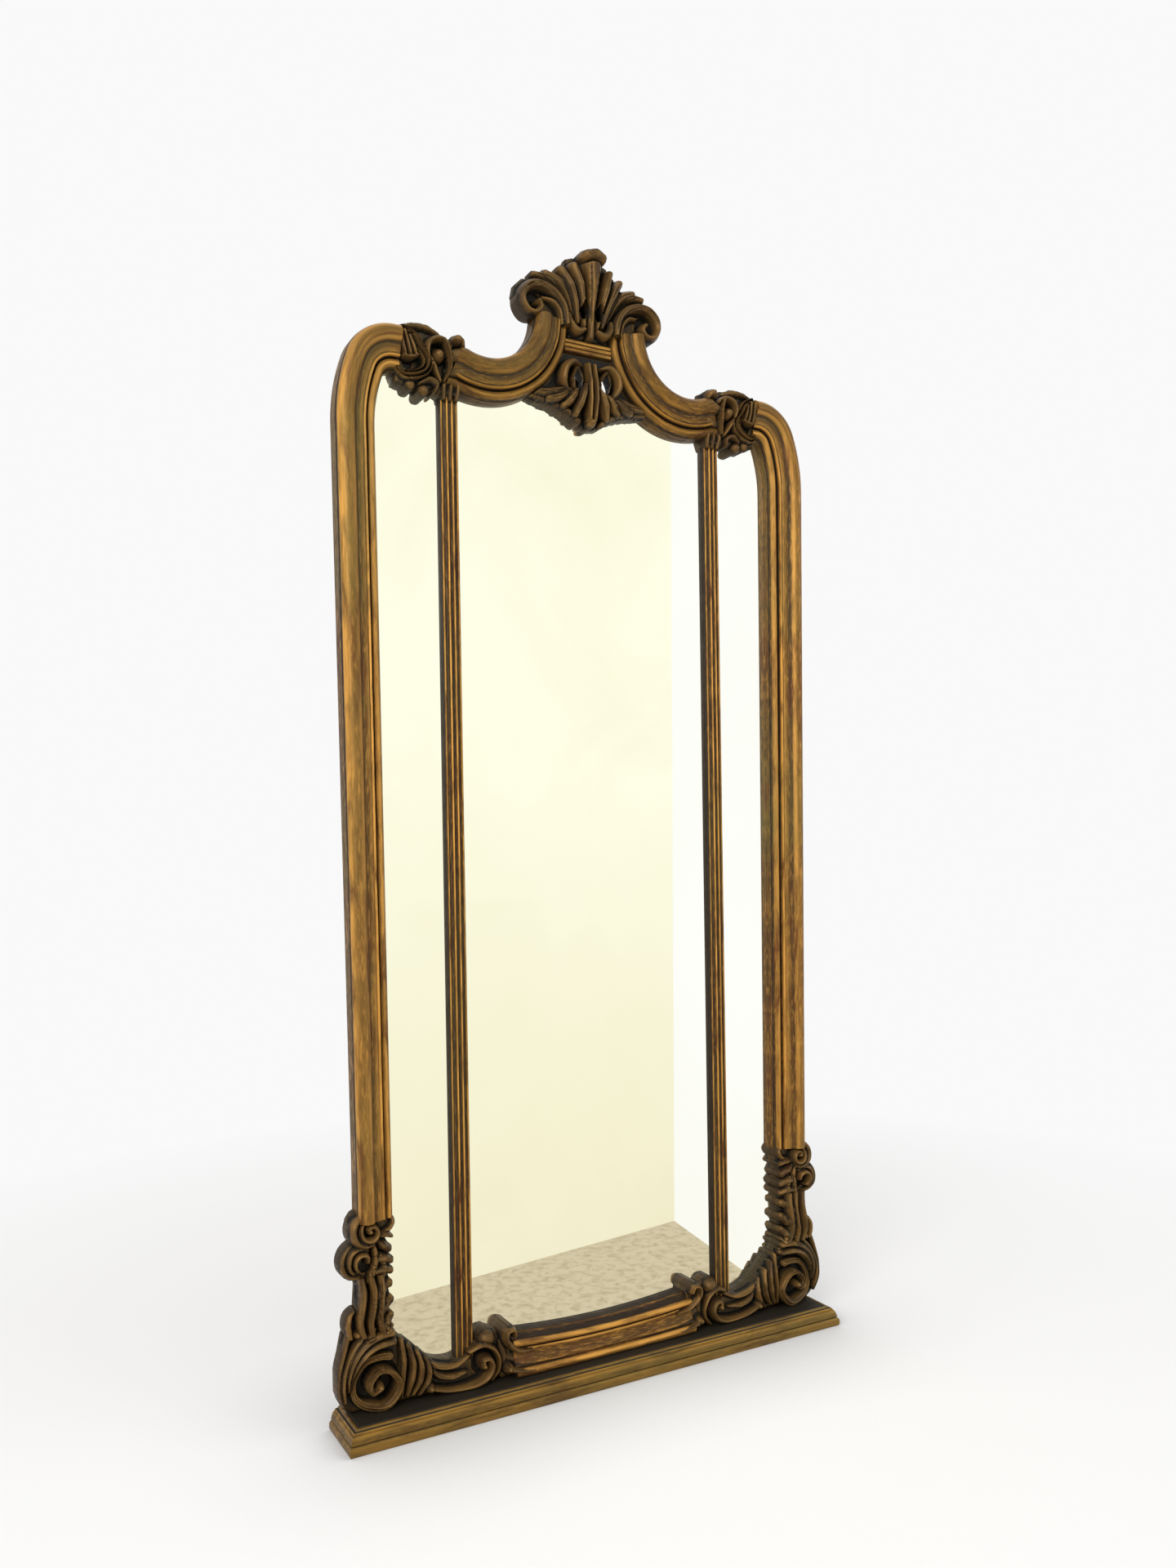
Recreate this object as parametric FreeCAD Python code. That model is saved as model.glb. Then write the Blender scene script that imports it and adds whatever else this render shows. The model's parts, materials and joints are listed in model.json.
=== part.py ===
"""Trumeau mirror: three silvered plates in a carved and gilt rococo frame on a moulded plinth.

Units are millimetres. +X is the viewer's right, +Y goes into the wall, +Z is up. The origin is the
middle of the underside of the plinth. Most pieces come in mirrored pairs: each is modelled on the
viewer's right and mirrored to the left.

A place in an outline is (x, z), and a relief is a height in front of the gilt pieces' back plane.
"""
import FreeCAD, Part
import math
import os

from FreeCAD import Vector

# ---------------------------------------------------------------- plinth
PLINTH_OVERHANG = 42.0         # past the back frame, at each end
PLINTH_DEPTH = 110.0
PLINTH_HEIGHT = 36.0

# ---------------------------------------------------------------- gilt mouldings
GILT_BACK_Y = 30.0             # back plane of every carved piece
SIGHT_HALF_WIDTH = 400.0       # centre line to the lip of a stile, below the shoulder
SIGHT_TOP_Z = 1730.0           # highest point of the lip, in the shoulder
MOULDING_WIDTH = 70.0
STILE_FOOT_Z = 345.0           # where the stile's moulding ends in its scroll
STILE_FOOT_WIDTH = 63.0        # the moulding narrows a little towards its foot
STILE_FOOT_INSET = 7.0         # and its lip leans in there
SHOULDER_LONG_RADIUS = 250.0   # the lip's two arcs
SHOULDER_LONG_TURN = 20.0      # degrees
SHOULDER_TIGHT_RADIUS = 16.0
SHOULDER_TAIL = 8.0            # straight run after the arcs
LONG_ARC_FACETS = 3
TIGHT_ARC_FACETS = 6
JOINT_GAP = 0.3                # between carved pieces that butt together

NECK_CENTRE_X = 205.0
NECK_CENTRE_RISE = 140.0       # centre of the neck's sweep above SIGHT_TOP_Z
NECK_INNER_RADIUS = 93.0
NECK_TAIL_TURN = 20.0          # degrees past its lowest point, towards the shoulder
NECK_FACETS = 10

CREST_RISE = 130.0             # top of the crest above the centre of the necks' sweep
CREST_CURL = 30.0              # how far its tip curls forwards of the fan
CROSS_RAIL_HEIGHT = 23.0
CROSS_RAIL_DROP = 24.0         # its top below the centre of the necks' sweep
CROSS_RAIL_RELIEF = 14.0
REED_HEIGHT = 3.4
REED_COUNT = 3

MULLION_X = 268.0
MULLION_WIDTH = 32.0
MULLION_FOOT_RISE = 42.0       # its foot above the plinth
MULLION_TOP_DROP = 29.0        # its top below SIGHT_TOP_Z

BOTTOM_RAIL_HALF = 196.0       # to the outside of its curled ends
BOTTOM_RAIL_MID = 62.0         # height above the plinth at the middle
BOTTOM_RAIL_END = 73.0         # and at its ends
APRON_JOINT_INSET = 16.0       # joint of apron leaf and corner volute, inside the stile's lip
LEAF_JOINT_Z = 165.0           # joint between corner volute and stile leaf
SCROLL_JOINT_Z = 252.0         # joint between stile leaf and stile scroll
SCROLL_OVERLAP = 20.0          # how far the scroll climbs beside the stile's foot
SCROLL_SEAT_GAP = 1.1          # between them there

# ---------------------------------------------------------------- plates
PLATE_THICKNESS = 4.0
PLATE_CLEARANCE = 0.3
PLATE_COVER = 8.0              # how far the stile's lip covers a plate's edge
PLATE_TOP_RISE = 8.0           # their top above SIGHT_TOP_Z
BED_HEIGHT = 4.0               # setting blocks below the plates
BED_LENGTH = 30.0

# ---------------------------------------------------------------- back frame and boards
FRAME_DEPTH = 16.0
BACK_STILE_WIDTH = 42.0
EDGE_CLEARANCE = 2.0           # between a plate's edge and the back frame
TOP_RAIL_HEIGHT = 30.0
TOP_RAIL_WAIST = 17.0          # its height at the notch behind the pendant
TOP_RAIL_WAIST_HALF = 62.0
BOTTOM_RAIL_WIDTH = 34.0
TONGUE_WIDTH = 6.0             # the muntins' tongue between two plates
MUNTIN_WIDTH = 44.0
REBATE = 8.0
BOARD_THICKNESS = 8.0
BOARD_GAP = 0.3
CENTRE_BOARDS = 4

BATTEN_HALF = 18.0
BATTEN_SEAT = 11.0             # its foot above the top rail's lower edge
BATTEN_RISE = 215.0            # height of the crest batten above the top rail's lower edge
CROSSPIECE_HALF = 100.0
CROSSPIECE_HEIGHT = 34.0
CROSSPIECE_RISE = 10.0         # its lower edge above the centre of the necks' sweep

BLOCK_LENGTH = 40.0
BLOCK_WIDTH = 11.0
BLOCK_ROWS = 5
BLOCK_INBOARD = 0.6            # setting blocks of the centre plate, as a share of MULLION_X

# ---------------------------------------------------------------- screws and hangers
SCREW_HEAD_RADIUS = 4.0
SCREW_RADIUS = 2.0
SCREW_CONE = 2.4
BOARD_SCREW = 10.5
CARVING_SCREW = 32.0
CARVING_SCREW_ROWS = (0.07, 0.17, 0.58, 0.94)  # up the stile, as shares of SIGHT_TOP_Z
RAIL_SCREW_INBOARD = 48.0      # the top rail's screws, from the mullion
PLINTH_SCREW = 60.0
PAN_HEIGHT = 2.4
HANGER_SCREW = 12.0

HANGER_DROP = 250.0            # the rings' pivot below SIGHT_TOP_Z
HANGER_INSET = 21.0            # from the outer edge of the back stile
STRAP_WIDTH = 18.0
STRAP_LENGTH = 80.0
STRAP_THICKNESS = 1.5
STRAP_SCREWS = (48.0, 68.0)    # below the ring's pivot
RING_WIRE = 4.0
RING_BAR_HALF = 15.0
RING_DROP = 15.0               # straight sides of the D, below its bar
RING_FACETS = 10
KNUCKLE_SIDES = 12
PIVOT_CLEARANCE = 0.3

# ---------------------------------------------------------------- worked out from the above
NECK_Z = SIGHT_TOP_Z + NECK_CENTRE_RISE
MULLION_FOOT_Z = PLINTH_HEIGHT + MULLION_FOOT_RISE
MULLION_TOP_Z = SIGHT_TOP_Z - MULLION_TOP_DROP
APRON_OUTER_X = SIGHT_HALF_WIDTH - APRON_JOINT_INSET
PLATE_TOP_Z = SIGHT_TOP_Z + PLATE_TOP_RISE
HANGER_Z = SIGHT_TOP_Z - HANGER_DROP
NECK_OUTER_RADIUS = NECK_INNER_RADIUS + MOULDING_WIDTH
CROSS_RAIL_TOP_Z = NECK_Z - CROSS_RAIL_DROP
PLATE_EDGE_X = SIGHT_HALF_WIDTH + PLATE_COVER
FRAME_INNER_X = PLATE_EDGE_X + EDGE_CLEARANCE
FRAME_OUTER_X = FRAME_INNER_X + BACK_STILE_WIDTH
PLINTH_LENGTH = 2 * (FRAME_OUTER_X + PLINTH_OVERHANG)
FRAME_BACK_Y = GILT_BACK_Y + FRAME_DEPTH
PLATE_FRONT_Y = GILT_BACK_Y + PLATE_CLEARANCE
PLATE_BACK_Y = PLATE_FRONT_Y + PLATE_THICKNESS
REBATE_Y = FRAME_BACK_Y - BOARD_THICKNESS
BOTTOM_RAIL_TOP_Z = PLINTH_HEIGHT + BOTTOM_RAIL_WIDTH
PLATE_BOTTOM_Z = BOTTOM_RAIL_TOP_Z + BED_HEIGHT
TOP_RAIL_Z = PLATE_TOP_Z + EDGE_CLEARANCE
TOP_RAIL_TOP_Z = TOP_RAIL_Z + TOP_RAIL_HEIGHT
KNUCKLE_RADIUS = RING_WIRE / 2 + PIVOT_CLEARANCE + STRAP_THICKNESS
PIVOT_Y = FRAME_BACK_Y + KNUCKLE_RADIUS
HANGER_X = FRAME_OUTER_X - HANGER_INSET

# Moulding across its width, from the outer edge to the lip (PROFILE_WIDTH), as (place, relief): a
# big torus, a low ridge, a bead, a dark quirk and the roll next to the plate.
MOULDING_PROFILE = ((0, 0), (0, 22), (2, 33), (8, 41), (15, 44), (22, 42), (28, 36), (31, 28),
                    (35, 31.5), (42, 31), (46, 26), (50, 28.5), (52, 26), (53.5, 17),
                    (56, 22), (61, 24.5), (66, 21), (70, 13), (70, 0))
PROFILE_WIDTH = 70.0

# Half of the mullion's front, from its middle flute out to its back edge, as (place, relief).
MULLION_HALF_PROFILE = ((0, 10), (2, 10.8), (3.2, 13.2), (4.5, 14), (6, 13), (7.5, 10), (10, 8.8),
                        (11.6, 9), (12.6, 10.6), (14, 11), (15.5, 10), (16, 8), (16, 0))

# Bottom rail, upwards from the plinth, as (height, relief). Above RAIL_BEAD it stretches to the
# rail's concave top edge.
RAIL_PROFILE = ((0, 0), (0, 39), (3, 43), (8, 44), (12, 40), (14, 34), (17, 36), (24, 30), (32, 27),
                (38, 27), (40, 23), (43, 29), (47, 30), (50, 27), (52, 20), (56, 15), (62, 12), (62, 0))
RAIL_BEAD = 14.0

# The plinth's edge from its underside up to its top, as (set back from the outermost face, height).
PLINTH_PROFILE = ((2, 0), (0.3, 4), (0.3, 11), (3, 15), (5.5, 16.5), (3.5, 18), (7, 28), (9.5, 29.5),
                  (8, 31), (8.6, 34), (11, 36))

# Across a carved leaf lobe and a scroll's band: (share of its half width, share of its relief).
LOBE_SECTION = ((-1, 0), (0, 1), (1, 0))
BAND_SECTION = ((-1, 0), (-0.5, 1), (0.5, 1), (1, 0))
# Up a carved knob: (share of its relief, share of its radius).
KNOB_SECTION = ((0, 1), (0.65, 0.95), (1, 0.45))
KNOB_SIDES = 6
LEAF_GROUND = 14.0             # relief at which most lobes and bands start
SCREW_SIDES = 6


# ---------------------------------------------------------------- shape helpers
def polygon_face(corners):
    """Flat face with straight edges through the corners."""
    return Part.Face(Part.makePolygon(corners + corners[:1]))


def box(x_range, y_range, z_range):
    """Box between pairs of limits."""
    size = [abs(high - low) for low, high in (x_range, y_range, z_range)]
    return Part.makeBox(*size, Vector(min(x_range), min(y_range), min(z_range)))


def fused(shapes):
    """One solid made of overlapping shapes."""
    return shapes[0].multiFuse(shapes[1:]).removeSplitter()


def mirrored(shape):
    """Copy on the viewer's left."""
    return shape.mirror(Vector(0, 0, 0), Vector(1, 0, 0))


def slab(outline, back_y, front_y):
    """Flat slab of a closed outline, between two planes."""
    face = polygon_face([Vector(x, back_y, z) for x, z in outline])
    return face.extrude(Vector(0, front_y - back_y, 0))


def carved_body(outline, relief):
    """Ground of a carved piece: its outline, standing on the gilt pieces' back plane."""
    return slab(outline, GILT_BACK_Y, GILT_BACK_Y - relief)


def faceted(sections):
    """Solid through matching rings of points, in flat facets such as a gouge leaves."""
    faces = [polygon_face(sections[0]), polygon_face(sections[-1])]
    for low, high in zip(sections, sections[1:]):
        for index, corner in enumerate(low):
            after = (index + 1) % len(low)
            faces.append(polygon_face([corner, low[after], high[after]]))
            faces.append(polygon_face([corner, high[after], high[index]]))
    shell = Part.Shell(faces)
    shell.sewShape()
    solid = Part.Solid(shell)
    if solid.Volume < 0:
        solid.reverse()
    return solid


def placed(base, *points):
    """Points (x, z) of an outline or a path that are given from a base point."""
    return [(base[0] + x, base[1] + z) for x, z in points]


def swell(values, share):
    """Curve through a start, a middle and an end value, at a share of the way along."""
    start, middle, end = values
    straight = start + (end - start) * share
    return straight + 4 * (middle - (start + end) / 2) * share * (1 - share)


def spiral(centre, radii, turn, steps):
    """Points on a spiral between two radii and two angles in degrees. Equal radii give an arc."""
    points = []
    for step in range(steps + 1):
        share = step / steps
        angle = math.radians(turn[0] + (turn[1] - turn[0]) * share)
        radius = radii[0] + (radii[1] - radii[0]) * share
        points.append((centre[0] + radius * math.cos(angle), centre[1] + radius * math.sin(angle)))
    return points


def bow(start, bend, end, steps):
    """Points on a parabola from start to end, leaning towards bend."""
    points = []
    for step in range(steps + 1):
        t = step / steps
        points.append(tuple((1 - t) ** 2 * a + 2 * t * (1 - t) * b + t * t * c
                            for a, b, c in zip(start, bend, end)))
    return points


def frond(path, half_widths, reliefs, ground, across_section=LOBE_SECTION):
    """Carved ridge along a path: a leaf's lobe, or the band of a scroll."""
    sections = []
    last = len(path) - 1
    for index, (x, z) in enumerate(path):
        before = path[max(index - 1, 0)]
        after = path[min(index + 1, last)]
        run, rise = after[0] - before[0], after[1] - before[1]
        length = math.hypot(run, rise)
        half = swell(half_widths, index / last)
        relief = swell(reliefs, index / last)
        sections.append([Vector(x - rise / length * half * across,
                                GILT_BACK_Y - ground - (relief - ground) * up,
                                z + run / length * half * across) for across, up in across_section])
    return faceted(sections)


def band(path, half_widths, reliefs):
    """Flat-topped band of a scroll, standing on the ground of a carved piece."""
    return frond(path, half_widths, reliefs, LEAF_GROUND, BAND_SECTION)


def knob(centre, radius, relief, ground):
    """Carved knob or volute's eye."""
    sections = []
    for up, spread in KNOB_SECTION:
        y = GILT_BACK_Y - ground - (relief - ground) * up
        ring = spiral(centre, (radius * spread,) * 2, (0, 360), KNOB_SIDES)[:-1]
        sections.append([Vector(x, y, z) for x, z in ring])
    return faceted(sections)


def drop_hole(top, bottom, radius):
    """Cutter for a pierced teardrop, pointed at its top and round at its bottom."""
    lean = math.degrees(math.atan2(bottom[1] - top[1], bottom[0] - top[0]))
    outline = [top] + spiral(bottom, (radius, radius), (lean - 100, lean + 100), 6)
    return slab(outline, GILT_BACK_Y + 1, GILT_BACK_Y - MOULDING_WIDTH)


def neck_sweep(radius):
    """Room inside a radius of the right neck's sweep, right through the frame, in the neck's facets."""
    centre = (NECK_CENTRE_X, NECK_Z)
    faceted_part = spiral(centre, (radius, radius), (180, 270 + NECK_TAIL_TURN), NECK_FACETS)
    rest = spiral(centre, (radius, radius), (270 + NECK_TAIL_TURN, 540), 8)[1:-1]
    return slab(faceted_part + rest, PLINTH_DEPTH / 2, -PLINTH_DEPTH / 2)


# ---------------------------------------------------------------- mouldings
def moulding_ring(lip, width, degrees=0.0):
    """The gilt moulding's section at a place of its lip, turned by an angle from level."""
    scale = width / PROFILE_WIDTH
    across, up = math.cos(math.radians(degrees)), math.sin(math.radians(degrees))
    ring = []
    for place, relief in MOULDING_PROFILE:
        out = width - place * scale
        ring.append(Vector(lip[0] + out * across, GILT_BACK_Y - relief, lip[1] + out * up))
    return ring


def shoulder_arcs():
    """Centres (x, z) of the shoulder's long and tight arcs."""
    turn = math.radians(SHOULDER_LONG_TURN)
    long_x = SIGHT_HALF_WIDTH - SHOULDER_LONG_RADIUS
    reach = SHOULDER_LONG_RADIUS - SHOULDER_TIGHT_RADIUS
    tight = (long_x + reach * math.cos(turn), SIGHT_TOP_Z - SHOULDER_TIGHT_RADIUS)
    return (long_x, tight[1] - reach * math.sin(turn)), tight


def stile_moulding():
    """Tapering straight run, then the shoulder in two arcs and a short tail."""
    long_arc, tight_arc = shoulder_arcs()
    rings = [moulding_ring((SIGHT_HALF_WIDTH - STILE_FOOT_INSET, STILE_FOOT_Z), STILE_FOOT_WIDTH)]
    arcs = ((long_arc, SHOULDER_LONG_RADIUS, (0, SHOULDER_LONG_TURN), LONG_ARC_FACETS),
            (tight_arc, SHOULDER_TIGHT_RADIUS, (SHOULDER_LONG_TURN, 90), TIGHT_ARC_FACETS))
    for centre, radius, turn, steps in arcs:
        lips = spiral(centre, (radius, radius), turn, steps)
        rings += [moulding_ring(lip, MOULDING_WIDTH, turn[0] + (turn[1] - turn[0]) * step / steps)
                  for step, lip in enumerate(lips) if step or centre is long_arc]
    rings.append([corner + Vector(-SHOULDER_TAIL, 0, 0) for corner in rings[-1]])
    return faceted(rings)


def shoulder_end_x():
    """Where the stile moulding's tail ends."""
    return shoulder_arcs()[1][0] - SHOULDER_TAIL


def swan_neck():
    """The same moulding swept from upright down, round and past its lowest point."""
    rings = []
    for step in range(NECK_FACETS + 1):
        degrees = 180 + (90 + NECK_TAIL_TURN) * step / NECK_FACETS
        toward = math.radians(degrees)
        lip = (NECK_CENTRE_X + NECK_OUTER_RADIUS * math.cos(toward),
               NECK_Z + NECK_OUTER_RADIUS * math.sin(toward))
        rings.append(moulding_ring(lip, MOULDING_WIDTH, degrees - 180))
    return faceted(rings)


def mullion():
    """Reeded bar over the joint of two plates."""
    scale = MULLION_WIDTH / (2 * MULLION_HALF_PROFILE[-1][0])
    half = [(place * scale, relief) for place, relief in MULLION_HALF_PROFILE]
    corners = half[::-1] + [(-place, relief) for place, relief in half[1:]]
    face = polygon_face([Vector(MULLION_X + place, GILT_BACK_Y - relief, MULLION_FOOT_Z)
                         for place, relief in corners])
    return face.extrude(Vector(0, 0, MULLION_TOP_Z - MULLION_FOOT_Z))


def crest_cross_rail():
    """Three reeds, scribed at both ends to the necks' lips."""
    low = CROSS_RAIL_TOP_Z - CROSS_RAIL_HEIGHT
    reed = CROSS_RAIL_HEIGHT / REED_COUNT
    half = NECK_CENTRE_X - NECK_INNER_RADIUS
    corners = [(0, 0)]
    for index in range(REED_COUNT):
        corners += [((index + across) * reed, CROSS_RAIL_RELIEF + REED_HEIGHT * up)
                    for across, up in ((0, 0), (0.2, 0.8), (0.5, 1), (0.8, 0.8))]
    corners += [(CROSS_RAIL_HEIGHT, CROSS_RAIL_RELIEF), (CROSS_RAIL_HEIGHT, 0)]
    face = polygon_face([Vector(-half, GILT_BACK_Y - relief, low + height) for height, relief in corners])
    sweep = neck_sweep(NECK_OUTER_RADIUS + JOINT_GAP)
    return face.extrude(Vector(2 * half, 0, 0)).cut(sweep).cut(mirrored(sweep))


def bottom_rail_moulding():
    """Moulding along the bottom, higher at its ends, with two curls at each end."""
    half = BOTTOM_RAIL_HALF - 14
    sections = []
    for step in range(-2, 3):
        top = BOTTOM_RAIL_MID + (BOTTOM_RAIL_END - BOTTOM_RAIL_MID) * (step / 2) ** 2
        stretch = (top - RAIL_BEAD) / (BOTTOM_RAIL_MID - RAIL_BEAD)
        ring = []
        for height, relief in RAIL_PROFILE:
            if height > RAIL_BEAD:
                height = RAIL_BEAD + (height - RAIL_BEAD) * stretch
            ring.append(Vector(half * step / 2, GILT_BACK_Y - relief, PLINTH_HEIGHT + height))
        sections.append(ring)
    rail = faceted(sections)
    upper = (BOTTOM_RAIL_HALF - 13, PLINTH_HEIGHT + BOTTOM_RAIL_END - 5)
    lower = (BOTTOM_RAIL_HALF - 11, PLINTH_HEIGHT + 13)
    curls = [knob(upper, 13, 36, 0), knob(lower, 11, 46, 0)]
    return fused([rail] + curls + [mirrored(curl) for curl in curls])


def plinth_edge(place, depth):
    """Section of the plinth, from its moulded edge to a flat side at the given depth."""
    corners = PLINTH_PROFILE + ((depth, PLINTH_HEIGHT), (depth, 0))
    return polygon_face([place(back, up) for back, up in corners])


def plinth_board():
    """Moulded board: the same edge runs round its front and both ends, mitred at the corners."""
    front = -PLINTH_DEPTH / 2
    end = PLINTH_LENGTH / 2
    along = plinth_edge(lambda back, up: Vector(-end, front + back, up), PLINTH_DEPTH)
    across = plinth_edge(lambda back, up: Vector(end - back, front, up), PLINTH_LENGTH)
    right = across.extrude(Vector(0, PLINTH_DEPTH, 0))
    return along.extrude(Vector(PLINTH_LENGTH, 0, 0)).common(right).common(mirrored(right))


# ---------------------------------------------------------------- carved pieces, on the right
def lobes(base, rows, steps=3, ground=LEAF_GROUND):
    """Fronds along bows that are given from a base point.

    A row is (start, bend, end, half widths, reliefs).
    """
    return [frond(bow(*placed(base, start, bend, end), steps), half_widths, reliefs, ground)
            for start, bend, end, half_widths, reliefs in rows]


def trimmed(shape, x_range, z_range):
    """Shape between the joints with its neighbours."""
    return shape.common(box(x_range, (-PLINTH_DEPTH, PLINTH_DEPTH), z_range))


def corner_volute():
    """Large volute on the plinth, with leaf ridges wrapped over its top and outer side."""
    base = (SIGHT_HALF_WIDTH, PLINTH_HEIGHT)
    top = LEAF_JOINT_Z - PLINTH_HEIGHT
    joint = -APRON_JOINT_INSET + JOINT_GAP
    outline = placed(base, (joint, 0), (68, 0), (82, 10), (91, 28), (95, 52), (93, 76), (87, 104), (80, top),
                     (0, top), (-7, 114), (joint, 105))
    eye = placed(base, (26, 48))[0]
    ring = spiral(eye, (39, 14), (80, -480), 14)
    leaves = [frond(spiral(eye, (radius, radius), turn, 5), (2, 5, 2), (22, relief, 20), LEAF_GROUND)
              for radius, turn, relief in ((50, (150, -55), 40), (58, (128, -32), 34), (65, (108, -2), 28))]
    stem = lobes(base, (((12, top), (16, 114), (-6, 98), (5, 5, 2), (34, 32, 24)),
                        ((30, top), (34, 114), (20, 110), (5, 5, 2), (34, 32, 24)),
                        ((52, top), (56, 114), (58, 106), (5, 5, 2), (34, 32, 24))))
    block = fused([carved_body(outline, 20), band(ring, (7.5, 7, 4), (40, 44, 44)),
                   knob(eye, 10, 46, LEAF_GROUND)] + leaves + stem)
    return trimmed(block, (SIGHT_HALF_WIDTH + joint, PLINTH_LENGTH),
                   (PLINTH_HEIGHT, LEAF_JOINT_Z - JOINT_GAP))


def stile_leaf():
    """Acanthus stem with a lobed inner edge and a fin on its outer side."""
    base = (SIGHT_HALF_WIDTH, LEAF_JOINT_Z)
    top = SCROLL_JOINT_Z - LEAF_JOINT_Z
    outline = placed(base, (0, 0), (80, 0), (79, 20), (72, 33), (61, 35), (58, 75), (60, top), (2, top),
                     (-3, 75), (2, 65), (-4, 55), (2, 45), (-4, 31), (2, 19))
    ridges = lobes(base, (((10, top), (4, 45), (12, 0), (4, 6, 5), (30, 38, 34)),
                          ((21, top), (21, 45), (30, 0), (4, 6, 5), (30, 38, 34)),
                          ((34, top), (42, 45), (40, 0), (4, 6, 5), (30, 38, 34)),
                          ((47, top), (58, 45), (52, 0), (4, 6, 5), (30, 38, 34))))
    fin = lobes(base, (((72, 31), (77, 17), (70, 0), (3, 6, 7), (18, 26, 26)),), ground=10)
    block = fused([carved_body(outline, 20)] + fin + ridges)
    return trimmed(block, (0, PLINTH_LENGTH), (LEAF_JOINT_Z, SCROLL_JOINT_Z - JOINT_GAP))


def stile_scroll():
    """Two scrolls, one above the other, that end the stile's moulding."""
    base = (SIGHT_HALF_WIDTH, SCROLL_JOINT_Z)
    top = STILE_FOOT_Z - SCROLL_JOINT_Z
    outline = placed(base, (2, 0), (50, 0), (69, 4), (80, 15), (84, 30), (79, 46), (67, 57), (63, 60),
                     (71, 71), (73, 83), (70, 97), (63, 107), (57, 110), (57, top), (-4, top), (-3, 66),
                     (7, 59), (-1, 46), (4, 38), (-2, 30), (3, 20), (-3, 10))
    upper, lower = placed(base, (37, top - 19), (56, 30))
    bands = [band(spiral(upper, (22, 8), (20, -330), 8), (6, 5, 3), (38, 42, 40)),
             band(spiral(lower, (23, 8), (110, -250), 8), (6, 5, 3), (34, 40, 40))]
    leaves = lobes(base, (((2, 60), (20, 44), (40, 51), (3, 5, 3), (22, 32, 26)),
                          ((2, 42), (18, 30), (28, 4), (3, 5, 5), (22, 34, 30)),
                          ((2, 22), (8, 14), (12, 2), (3, 5, 5), (22, 32, 30))))
    outer = lobes(base, (((66, 104), (74, 82), (64, 62), (4, 8, 4), (20, 28, 22)),), ground=10)
    eyes = [knob(upper, 6, 42, LEAF_GROUND), knob(lower, 7, 42, LEAF_GROUND)]
    block = fused([carved_body(outline, 20)] + eyes + outer + bands + leaves)
    block = trimmed(block, (0, PLINTH_LENGTH), (SCROLL_JOINT_Z, STILE_FOOT_Z + SCROLL_OVERLAP))
    seat_x = SIGHT_HALF_WIDTH - STILE_FOOT_INSET + STILE_FOOT_WIDTH + SCROLL_SEAT_GAP
    return block.cut(box((0, seat_x), (-PLINTH_DEPTH, PLINTH_DEPTH), (STILE_FOOT_Z - JOINT_GAP, SIGHT_TOP_Z)))


def apron_leaf():
    """Fan of fronds beside the corner volute, and a C-scroll bowl that ends in a small volute."""
    base = (SIGHT_HALF_WIDTH, PLINTH_HEIGHT)
    inner = BOTTOM_RAIL_HALF + JOINT_GAP
    notch = MULLION_WIDTH / 2 + JOINT_GAP
    seat = MULLION_FOOT_Z - JOINT_GAP
    outline = [(inner, PLINTH_HEIGHT), (APRON_OUTER_X, PLINTH_HEIGHT)]
    outline += placed(base, (-APRON_JOINT_INSET, 104), (-30, 100), (-48, 82), (-65, 63), (-90, 53))
    outline += [(MULLION_X + notch, seat + 7), (MULLION_X + notch, seat), (MULLION_X - notch, seat),
                (MULLION_X - notch, seat + 18)]
    outline += placed(base, (-153, 76), (-162, 87), (-176, 91), (-189, 84), (-196, 69)) + [(inner, seat + 6)]
    fronds = lobes(base, (((-21, 96), (-28, 54), (-24, 12), (2, 5, 3), (24, 36, 30)),
                          ((-29, 92), (-42, 52), (-34, 8), (2, 5, 3), (24, 36, 30)),
                          ((-40, 82), (-54, 50), (-44, 8), (2, 5, 3), (24, 36, 30)),
                          ((-52, 70), (-64, 48), (-54, 16), (2, 5, 3), (24, 36, 30)),
                          ((-60, 61), (-82, 42), (-112, 38), (3, 4, 3), (22, 28, 26))))
    volute, shell, root = placed(base, (-164, 40), (-176, 64), (-62, 18))
    bowl = band(bow(*placed(base, (-66, 14), (-112, -16), (-160, 11)), 5), (5, 4, 4), (42, 40, 40))
    curl = band(spiral(volute, (29, 9), (-90, 250), 8), (5, 6, 3), (40, 42, 42))
    crown = frond(spiral(shell, (18, 18), (200, -20), 5), (3, 6, 3), (22, 34, 24), LEAF_GROUND)
    block = fused([carved_body(outline, 20), bowl, curl, crown, knob(root, 9, 44, LEAF_GROUND),
                   knob(volute, 8, 44, LEAF_GROUND)] + fronds)
    return trimmed(block, (inner, APRON_OUTER_X), (PLINTH_HEIGHT, LEAF_JOINT_Z))


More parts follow.
